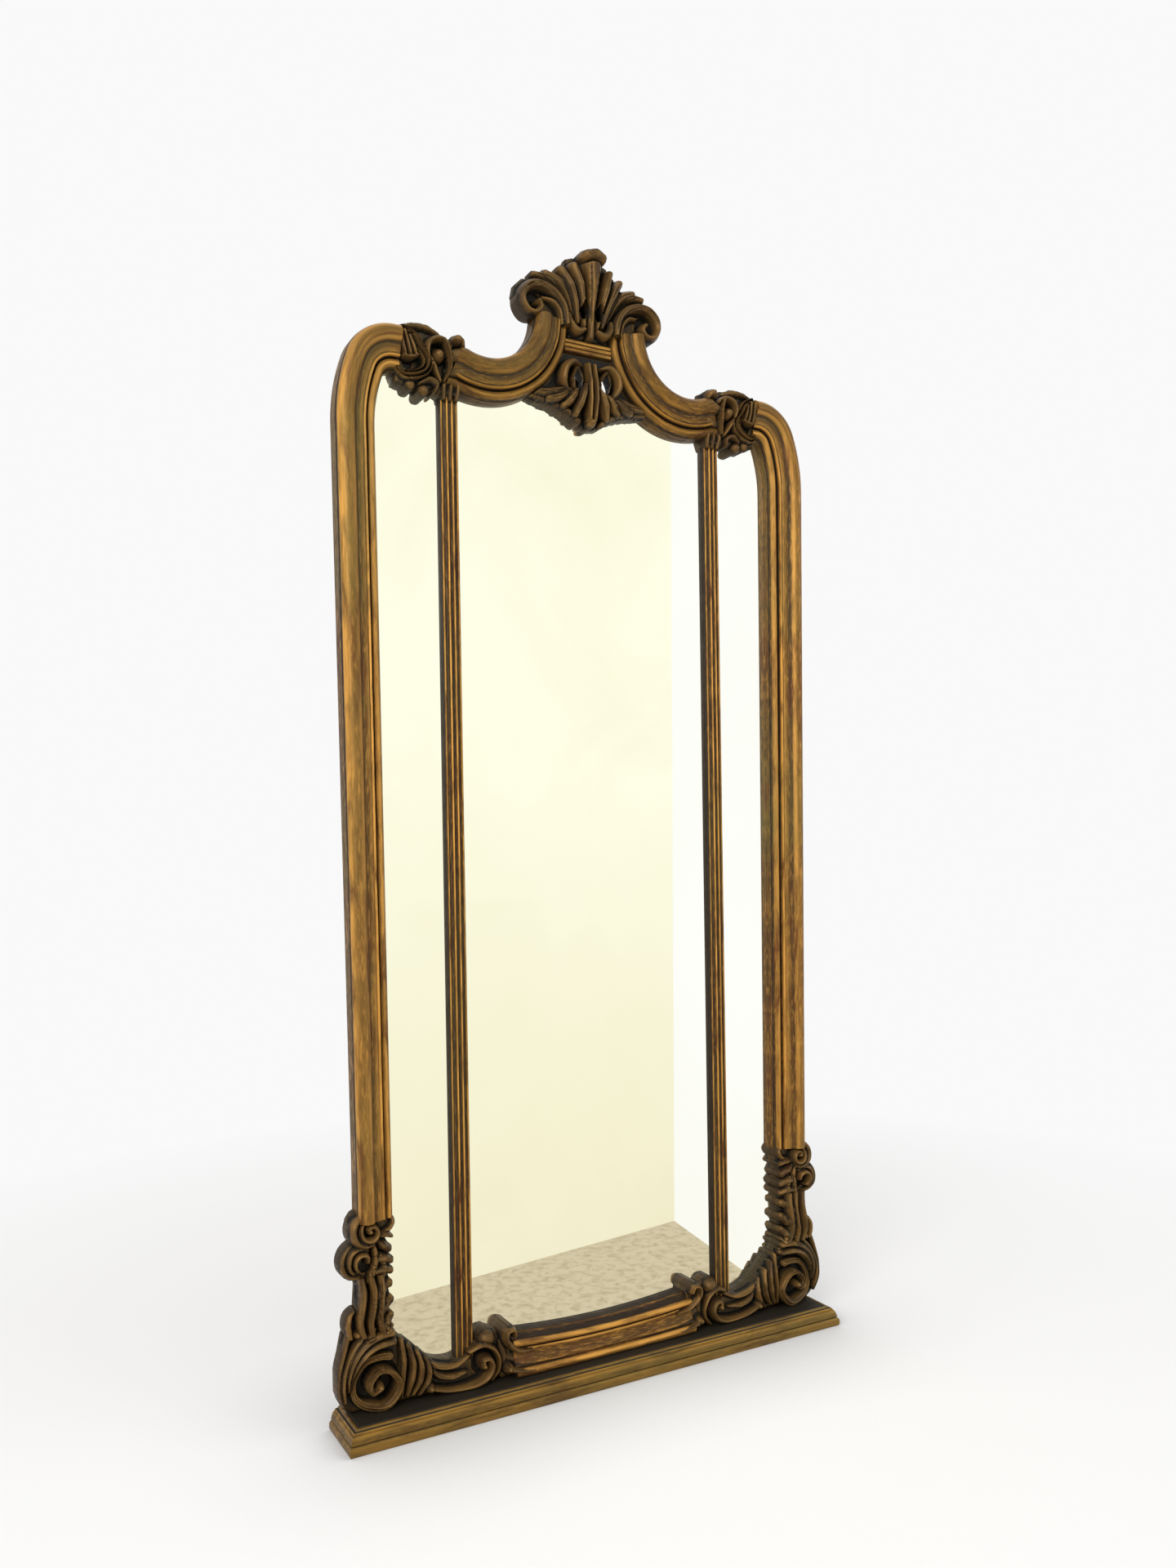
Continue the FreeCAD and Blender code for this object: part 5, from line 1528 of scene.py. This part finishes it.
@dataclass
class ShoulderCartouche(Carving):
    """C-scroll and nested flutes between the stile's shoulder and the swan neck."""

    node: str = "shoulder_cartouche"

    def carve(self) -> Relief:
        """Carve it.

        Returns:
            The relief.
        """
        r = Relief((236, 374), (1688, 1822))
        r.ground([(366, 1712), (366, 1797), (351, 1806), (338, 1811), (322, 1814), (304, 1811), (288, 1809),
                  (276, 1799), (262, 1797), (241, 1796), (238, 1778), (254, 1711), (254, 1702), (283, 1702),
                  (291, 1706), (301, 1709), (309, 1700), (318, 1694), (326, 1701), (330, 1709),
                  (345, 1707)], 19)
        for place, radius, crest in (((340, 1711), 10, 26), ((318, 1703), 10, 32)):
            r.ball(place, radius, crest, 12)
        r.stroke(flow((358, 1800), (336, 1806), (312, 1807), (290, 1800)), (5, 7, 7.5, 6), (24, 28, 28, 24),
                 ground=12, scallops=5)
        for side in (-9.5, 0, 9.5):
            r.stroke(flow((268 + side * 0.9, 1734), (268 + side * 1.35, 1718), (268 + side * 1.2, 1700)),
                     (3, 4.8, 4.4), (23, 26, 20), ground=11)
        r.stroke(flow((246, 1771), (259, 1768), (272, 1766)), (14, 13, 11), (44, 43, 40), ground=20)
        r.stroke(flow((252, 1745), (262, 1743), (274, 1741)), (10, 9, 8), (33, 32, 30), ground=18)
        r.stroke(flow((250, 1785), (253, 1791), (260, 1795)), (6, 9, 8), (38, 42, 44), ground=16)
        r.ball((259, 1793), 11.5, 45, 9)
        r.stroke(flow((309, 1760), (301, 1742), (290, 1724)), (5, 6.5, 5.5), (38, 38, 30), ground=12)
        r.stroke(flow((324, 1714), (308, 1722), (295, 1716), (297, 1705)), (4, 5.5, 5, 3), (28, 34, 34, 28),
                 ground=12)
        r.stroke(flow((354, 1797), (336, 1785), (325, 1768), (314, 1752), (316, 1736), (331, 1726),
                      (352, 1723), (363, 1732)),
                 (8, 9.5, 10, 11, 11, 10, 9, 5), (34, 40, 42, 43, 42, 40, 36, 28), Section.LEAF, 13)
        r.sink((345, 1743), 8.5, 14)
        for path in (flow((362, 1797), (357, 1774), (352, 1754)), flow((352, 1793), (347, 1772), (342, 1752)),
                     flow((343, 1786), (338, 1770), (333, 1756))):
            r.stroke(path, (4.5, 5.2, 4.2), (34, 38, 38), ground=16, groove=2.6, over=True)
        r.stroke(flow((354, 1751), (342, 1750), (330, 1756)), (3.2, 4, 3.2), (38, 41, 38), ground=15)
        r.sink((294, 1768), 19, 14)
        r.stroke(coil((294, 1766), (150, 25), (100, 24), (50, 22), (5, 19), (-45, 18)), (4, 6, 6, 5.5, 4),
                 (38, 42, 42, 41, 34), ground=13, groove=3)
        r.ball((294, 1762), 12.5, 44, 13)
        r.stroke(flow((285, 1789), (278, 1773), (275, 1755), (276, 1738), (282, 1724)),
                 (2.8, 3.6, 3.6, 3.4, 2.4), (43, 46, 47, 44, 34), ground=14, groove=2.5)
        return r


@dataclass
class CrestScroll(Carving):
    """Curled leaf on the end of the swan neck."""

    node: str = "crest_scroll"

    def carve(self) -> Relief:
        """Carve it.

        Returns:
            The relief.
        """
        r = Relief((38, 152), (1860, 1942))
        r.ground([(46, 1866), (112, 1866), (126, 1869), (140, 1881), (147, 1900), (143, 1919), (130, 1932),
                  (112, 1936), (90, 1934), (66, 1928), (51, 1914), (45, 1894)], 20)
        r.stroke(flow((58, 1860), (64, 1884), (78, 1898), (94, 1902)), (5, 6.5, 6.5, 4), (34, 37, 36, 28),
                 ground=15)
        r.sink((112, 1892), 17, 15)
        curl = flow((50, 1860), (55, 1888), (69, 1907), (92, 1919), (117, 1919), (134, 1905), (137, 1886),
                    (127, 1871), (112, 1870), (103, 1880), (108, 1890))
        r.stroke(curl, (7, 7.5, 8, 9, 9.5, 9.5, 9, 8, 7, 6, 5), (40, 42, 43, 43, 43, 43, 43, 43, 43, 43, 44),
                 ground=15, groove=3)
        for shift in ((-2.5, 1.0), (3.0, -2.5)):
            r.gouge(curl[:52] + shift, 1.5, 2.2)
        r.ball((108, 1888), 6.5, 46, 15)
        return r


class CentrePiece(Carving):
    """Carved piece on the centre line, the same on both sides."""

    @staticmethod
    def both(path: np.ndarray) -> tuple[np.ndarray, np.ndarray]:
        """Double a path.

        Args:
            path: path on the right.

        Returns:
            The path and its mirror image.
        """
        return path, path * (-1, 1)

    @staticmethod
    def closed(half: list[Point]) -> list[Point]:
        """Complete an outline.

        Args:
            half: its right half, from the centre line to the centre line.

        Returns:
            The whole outline.
        """
        return half + [(-x, z) for x, z in reversed(half) if x > 0]

    def build(self, finish: bpy.types.Material) -> None:
        """Make the piece.

        Args:
            finish: the gilding.
        """
        made = self.carve().solid(f"{self.node}_gilt")
        settle(made, finish, (self.node,))


@dataclass
class CrestPalmette(CentrePiece):
    """Acanthus fan at the top, pierced by two teardrops, its middle lobe curling forwards."""

    node: str = "crest_palmette"
    top: float = 2000.0

    def carve(self) -> Relief:
        """Carve it.

        Returns:
            The relief.
        """
        r = Relief((-122, 122), (1844, 2002))
        half = [(0, 1847), (41, 1847), (43, 1928), (64, 1936), (90, 1938), (112, 1938), (108, 1946),
                (92, 1953), (75, 1952), (60, 1957), (58, 1970), (46, 1977), (42, 1986), (28, 1991), (0, 1994)]
        r.ground(self.closed(half), 18)
        lobes = ((flow((42, 1902), (58, 1923), (82, 1938), (110, 1941)), (4, 8, 9, 6.5), (24, 30, 33, 28)),
                 (flow((35, 1886), (46, 1912), (64, 1934), (88, 1945)), (5, 9, 10.5, 8.5), (28, 35, 39, 33)),
                 (flow((25, 1874), (33, 1906), (45, 1934), (59, 1956)), (5, 8, 11, 9), (30, 39, 44, 38)),
                 (flow((13, 1868), (19, 1902), (27, 1938), (36, 1966)), (5, 6.5, 10.5, 9.5),
                  (32, 42, 49, 43)))
        for path, widths, crests in lobes:
            for each in self.both(path):
                r.stroke(each, widths, crests, ground=14, groove=3.2)
                r.gouge(each, 1.3, 2.0)
        r.stroke(flow((0, 1850), (0, 1890), (0, 1930), (0, 1984)), (7, 7, 14, 23), (34, 40, 50, 55),
                 ground=16, groove=3.2)
        for path in self.both(flow((3, 1866), (4, 1915), (9, 1978))):
            r.gouge(path, 1.6, 2.6)
        for path in self.both(flow((43, 1884), (40, 1868), (28, 1857), (13, 1862))):
            r.stroke(path, (5, 7.5, 8, 5), (30, 36, 38, 34), ground=12, groove=3)
            r.gouge(path, 1.4, 1.8)
        r.stroke(flow((-15, 1985), (0, 1987.5), (15, 1985)), (10.5, 12.4, 10.5), (56, 62, 56), ground=34,
                 groove=3.5, over=True)
        for path in self.both(flow((17, 1911), (16, 1899), (15, 1887), (15, 1884))):
            r.stroke(path, (3.5, 8, 10.5, 9), (38, 38, 36, 36), ground=20, groove=1.0)
            r.pierce(path, (0.5, 5.0, 8.2, 6.6), 18.0)
        return r.clip(high=(FAR, self.top - 0.3))


@dataclass
class PendantPalmette(CentrePiece):
    """Acanthus fan hanging below the cross rail, with two teardrops pierced right through it."""

    node: str = "pendant_palmette"
    gap: float = 0.4

    def carve(self) -> Relief:
        """Carve it.

        Returns:
            The relief.
        """
        r = Relief((-134, 134), (1682, 1826))
        half = [(0, 1690), (12, 1692), (25, 1699), (40, 1711), (60, 1718), (82, 1723), (108, 1726),
                (128, 1731), (128, 1760), (92, 1775), (70, 1800), (56, 1822.6), (0, 1822.6)]
        r.ground(self.closed(half), 11, 4)
        lobes = ((flow((44, 1754), (66, 1746), (88, 1740), (110, 1740)), (5, 8, 8.5, 6), (26, 31, 31, 26)),
                 (flow((40, 1752), (56, 1740), (70, 1733), (84, 1731)), (5, 8, 9, 7), (28, 35, 35, 29)),
                 (flow((28, 1754), (38, 1740), (47, 1729), (55, 1723)), (5, 8.5, 9.5, 7), (30, 39, 39, 31)),
                 (flow((12, 1764), (20, 1744), (27, 1724), (31, 1711)), (5, 8.5, 9.5, 7), (34, 43, 43, 33)))
        for path in self.both(flow((124, 1738), (104, 1733), (80, 1729), (60, 1723), (40, 1714), (22, 1701))):
            r.stroke(path, (6, 6.5, 7, 7, 6.5, 6), (18, 21, 22, 23, 24, 24), ground=9, scallops=8)
        for path, widths, crests in lobes:
            for each in self.both(path):
                r.stroke(each, widths, crests, ground=12, groove=3.2)
                r.gouge(each, 1.3, 2.0)
        for path in self.both(flow((21, 1798), (38, 1801), (52, 1788), (56, 1768), (47, 1752))):
            r.stroke(path, (4, 7, 8, 8, 5), (30, 37, 40, 38, 28), ground=12, groove=3)
            r.gouge(path + (1.5, 0.5), 1.5, 1.8)
        for path in self.both(flow((6, 1801), (6, 1770), (6, 1736), (5, 1704))):
            r.stroke(path, (5, 5, 5.5, 5), (34, 42, 43, 36), ground=14, groove=2.6)
        r.ball((0, 1699), 8.5, 38, 12)
        for path in self.both(flow((30, 1790), (29, 1778), (28, 1766), (28, 1763))):
            r.stroke(path, (4, 9.5, 13, 11), (36, 40, 38, 34), ground=20, groove=1.0)
            r.pierce(path, (0.5, 6.0, 10.0, 8.0), 24.0)
        for side in (-1, 1):
            away = np.hypot(r.x - side * NECK_CENTRE[0], r.z - NECK_CENTRE[1])
            r.reach = np.minimum(r.reach, away - (NECK_LIP + self.gap))
        return r


@dataclass
class RailCurls(Carving):
    """The two curls at each end of the bottom rail."""

    node: str = "bottom_rail_moulding"

    def carve(self) -> Relief:
        """Carve it.

        Returns:
            The relief.
        """
        r = Relief((150, 198), (34, 130))
        r.ground([(172, 36), (195.9, 36), (195.9, 124), (186, 122), (174, 108)], 24, 4)
        r.stroke(flow((148, 60), (172, 62), (200, 66)), (12, 12, 11), (28, 28, 27), ground=20)
        r.stroke(flow((148, 45), (168, 46), (184, 50), (196, 54)), (5.5, 6, 7, 8), (44, 45, 46, 46),
                 ground=14)
        rail_hook(r)
        return r.clip(low=(-FAR, PLINTH_TOP), high=(195.8, FAR))

    def build(self, finish: bpy.types.Material) -> None:
        """Make the curls of both ends.

        Args:
            finish: the gilding.
        """
        relief = self.carve()
        for side, flip in (("right", False), ("left", True)):
            made = relief.solid(f"{side}_rail_curls_gilt", flip)
            settle(made, finish, (self.node,))


# ---------------------------------------------------------------- backs, plates, iron
@dataclass
class Joinery:
    """Back frame, boards, blocks, plates, screws and hangers, which keep the shape of the CAD model."""

    upright: tuple = ("left_back_stile", "right_back_stile", "left_back_muntin", "right_back_muntin",
                      "crest_batten", "left_backboard", "right_backboard", "glazing_blocks")
    across: tuple = ("top_back_rail", "bottom_back_rail", "crest_crosspiece", "centre_backboard_1",
                     "centre_backboard_2", "centre_backboard_3", "centre_backboard_4")
    plates: tuple = ("left_mirror_plate", "centre_mirror_plate", "right_mirror_plate")
    iron: tuple = ("backboard_screws", "carving_screws", "plinth_screws", "hanger_screws",
                   "left_hanger_strap", "right_hanger_strap", "left_hanger_ring", "right_hanger_ring")

    def build(self, nodes: dict[str, bpy.types.Object]) -> None:
        """Dress the nodes.

        Args:
            nodes: the CAD nodes by name.
        """
        finishes = ((self.upright, PINE_UPRIGHT.build(), "pine"), (self.across, PINE_ACROSS.build(), "pine"),
                    (self.plates, SILVER.build(), "silvered_plate"),
                    (self.iron, STEEL.build(), "screw_steel"))
        for names, finish, slot in finishes:
            for name in names:
                piece = nodes[name]
                piece.data.materials.clear()
                piece.data.materials.append(finish)
                LOG.info("%s: %s", name, finish.name)


# ---------------------------------------------------------------- studio
@dataclass
class Studio:
    """Camera, soft lights, pale floor with a painted shadow, and the glowing cream wall and floor whose
    painted reflection the plates show.
    """

    pale: tuple = tint(249, 249, 249)
    shadow: tuple = tint(150, 150, 152)
    shadow_reach: float = 0.36
    floor_half: float = 14.0
    wall_foot: tuple = ((-3.0, -0.026), (0.572, -0.588))
    wall_top: float = 4.0
    corner_lean: float = 0.05
    patch_side: Point = (0.507, -0.2)
    patch_rear: float = -0.07
    patch_lift: float = 0.0006
    picture: Point = (1440.0, 1920.0)
    focal: float = 1442.0
    optical_centre: Point = (715.0, 1050.0)
    eye: tuple = (-1.047, -1.824, 0.946)
    yaw_pitch_roll: tuple = (29.09, 0.57, -0.90)

    def shell(self, name: str, corners: list[tuple[float, float, float]], material: bpy.types.Material,
              seen: bool) -> None:
        """Make a flat stage piece.

        Args:
            name: its name.
            corners: corners in metres.
            material: its material.
            seen: whether the camera sees it.
        """
        made = mesh_object(name, np.array(corners, float), np.arange(len(corners))[None])
        made.data.materials.append(material)
        if not seen:
            made.visible_camera = False
            made.visible_diffuse = False
            made.visible_shadow = False

    def glow(self, name: str, low: tuple, high: tuple, blotch: tuple, scale: float,
             top: float) -> bpy.types.Material:
        """Glowing plaster or concrete that takes no light: a painted reflection for the plates.

        Args:
            name: the material's name.
            low, high: colours at the floor and at the top; a lighter top is painted light.
            blotch: colour of its blotches.
            scale: blotches for each metre.
            top: height of the high colour.

        Returns:
            The material.
        """
        g = Surface(name, lit=False)
        split = g.node("ShaderNodeSeparateXYZ")
        g.link(g.node("ShaderNodeTexCoord").outputs["Object"], split.inputs[0])
        colour = g.ramp(g.span(split.outputs["Z"], 0.0, top), [(0.0, low), (1.0, high)])
        colour = g.blend(g.span(g.noise(g.place((scale,) * 3), 6, 0.5), 0.45, 0.70, 0.0, 0.6), colour, blotch)
        glow = g.node("ShaderNodeEmission")
        g.link(colour, glow.inputs["Color"])
        g.link(glow.outputs[0], g.out.inputs["Surface"])
        return g.material

    def floor_material(self) -> bpy.types.Material:
        """Pale floor that takes the object's soft shadow: its glowing part is darkened by ambient occlusion
        near the object as a painted shadow, and its lit part shows the real shadow.

        Returns:
            The material.
        """
        g = Surface("pale_floor", lit=False)
        plain = g.node("ShaderNodeEmission")
        # ambient occlusion darkens the glowing floor near the object: a painted shadow
        corner = g.node("ShaderNodeAmbientOcclusion", samples=12)
        corner.inputs["Distance"].default_value = self.shadow_reach
        shade = g.blend(g.span(corner.outputs["AO"], 0.62, 0.99), self.shadow, self.pale)
        g.link(shade, plain.inputs["Color"])
        shaded = g.node("ShaderNodeBsdfDiffuse")
        shaded.inputs["Color"].default_value = (0.9, 0.9, 0.9, 1.0)
        away = g.node("ShaderNodeVectorMath", operation="LENGTH")
        g.link(g.node("ShaderNodeTexCoord").outputs["Object"], away.inputs[0])
        share = g.maths("MULTIPLY", g.seen_ray(), g.span(away.outputs["Value"], 0.7, 2.2, 0.45, 1.0))
        g.mixed(share, shaded.outputs[0], plain.outputs[0])
        return g.material

    def sky(self) -> None:
        """World: the pale backdrop for camera, glossy and transmission rays, plain light for the rest."""
        world = bpy.data.worlds.new("studio")
        bpy.context.scene.world = world
        g = Graph(world, "ShaderNodeOutputWorld")
        light, seen = g.node("ShaderNodeBackground"), g.node("ShaderNodeBackground")
        light.inputs["Color"].default_value = (1.0, 0.99, 0.97, 1.0)
        light.inputs["Strength"].default_value = 0.62
        seen.inputs["Color"].default_value = self.pale
        g.mixed(g.seen_ray(), light.outputs[0], seen.outputs[0])

    def lamp(self, name: str, place: tuple, aim: tuple, size: float, watts: float, colour: Colour) -> None:
        """Soft square lamp.

        Args:
            name: its name.
            place, aim: where it is and where it points, in metres.
            size: its side.
            watts: its power.
            colour: its colour.
        """
        data = bpy.data.lights.new(name, "AREA")
        data.shape = "SQUARE"
        data.size = size
        data.energy = watts
        data.color = colour
        lamp = bpy.data.objects.new(name, data)
        lamp.location = place
        lamp.rotation_euler = (Vector(aim) - Vector(place)).to_track_quat("-Z", "Y").to_euler()
        bpy.context.scene.collection.objects.link(lamp)

    def camera(self) -> None:
        """Camera of the photograph, its sizes in pixels and its angles in degrees."""
        wide, high = self.picture
        data = bpy.data.cameras.new("camera")
        data.sensor_width = 36.0
        data.lens = data.sensor_width * self.focal / high
        data.shift_x = (wide / 2 - self.optical_centre[0]) / high
        data.shift_y = (self.optical_centre[1] - high / 2) / high
        data.clip_end = 60.0
        camera = bpy.data.objects.new("camera", data)
        yaw, pitch, roll = (math.radians(value) for value in self.yaw_pitch_roll)
        rolled = Matrix(((math.cos(roll), -math.sin(roll), 0), (math.sin(roll), math.cos(roll), 0),
                         (0, 0, 1)))
        tilted = Matrix(((1, 0, 0), (0, math.cos(pitch), -math.sin(pitch)),
                         (0, math.sin(pitch), math.cos(pitch))))
        stood = Matrix(((1, 0, 0), (0, 0, -1), (0, 1, 0)))
        turned = Matrix(((math.cos(yaw), -math.sin(yaw), 0), (math.sin(yaw), math.cos(yaw), 0), (0, 0, 1)))
        rows = rolled @ tilted @ stood @ turned
        turn = Matrix((rows[0], -rows[1], -rows[2])).transposed().to_4x4()
        camera.matrix_world = Matrix.Translation(self.eye) @ turn
        bpy.context.scene.collection.objects.link(camera)
        bpy.context.scene.camera = camera

    def walls(self) -> None:
        """Glowing walls and floor that only the plates reflect: a painted reflection of a lit room."""
        (left_x, left_y), (corner_x, corner_y) = self.wall_foot
        side_x, side_y = self.patch_side
        lean_x = corner_x + self.corner_lean
        cream = self.glow("cream_plaster", tint(241, 235, 202), tint(255, 255, 232), tint(247, 244, 214),
                          1.9, 1.1)
        self.shell("cream_wall", [(left_x, left_y, 0), (corner_x, corner_y, 0),
                                  (lean_x, corner_y, self.wall_top),
                                  (left_x, left_y, self.wall_top)], cream, False)
        chalk = self.glow("chalk_plaster", tint(250, 250, 240), tint(254, 255, 250), tint(252, 252, 245),
                          2.4, 0.6)
        self.shell("side_wall", [(corner_x, corner_y, 0), (side_x, side_y, 0), (0.50, self.patch_rear, 0),
                                 (0.50, self.patch_rear, self.wall_top), (lean_x, corner_y, self.wall_top)],
                   chalk, False)
        stone = self.glow("reflected_floor", tint(213, 200, 167), tint(213, 200, 167), tint(160, 148, 117),
                          46.0, 1.0)
        patch = ((left_x, left_y), (left_x, -1.0), (corner_x, corner_y), (side_x, side_y),
                 (side_x, self.patch_rear), (-2.0, self.patch_rear))
        self.shell("floor_patch", [(x, y, self.patch_lift) for x, y in patch], stone, False)

    def build(self) -> None:
        """Set it all up."""
        self.camera()
        self.sky()
        self.lamp("key_left", (-3.2, -2.6, 3.0), (0.0, 0.0, 1.1), 2.4, 150.0, (1.0, 0.98, 0.95))
        self.lamp("fill_right", (3.0, -3.2, 2.4), (0.0, 0.0, 0.9), 3.0, 60.0, (1.0, 1.0, 1.0))
        half = self.floor_half
        self.shell("floor", [(-half, -half, 0), (half, -half, 0), (half, half, 0), (-half, half, 0)],
                   self.floor_material(), True)
        self.walls()
        bpy.context.scene.view_settings.view_transform = "Standard"


def main() -> None:
    """Build the looks of the mirror, in order."""
    logging.basicConfig(level=logging.INFO, format="%(name)s: %(message)s")
    np.random.seed(7)
    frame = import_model()
    Studio().build()
    Joinery().build(frame["nodes"])
    moulding, carving, board = MOULDING_GILT.build(), CARVED_GILT.build(), PLINTH_GILT.build()
    FrameMouldings().build(moulding, SHADED_NECK_GILT.build())
    Bars().build(moulding, board)
    for piece in (CornerVolute(), StileLeaf(), StileScroll(), ApronLeaf(), ShoulderCartouche(), CrestScroll(),
                  CrestPalmette(), PendantPalmette(), RailCurls()):
        piece.build(carving)


if __name__ == "__main__":
    main()
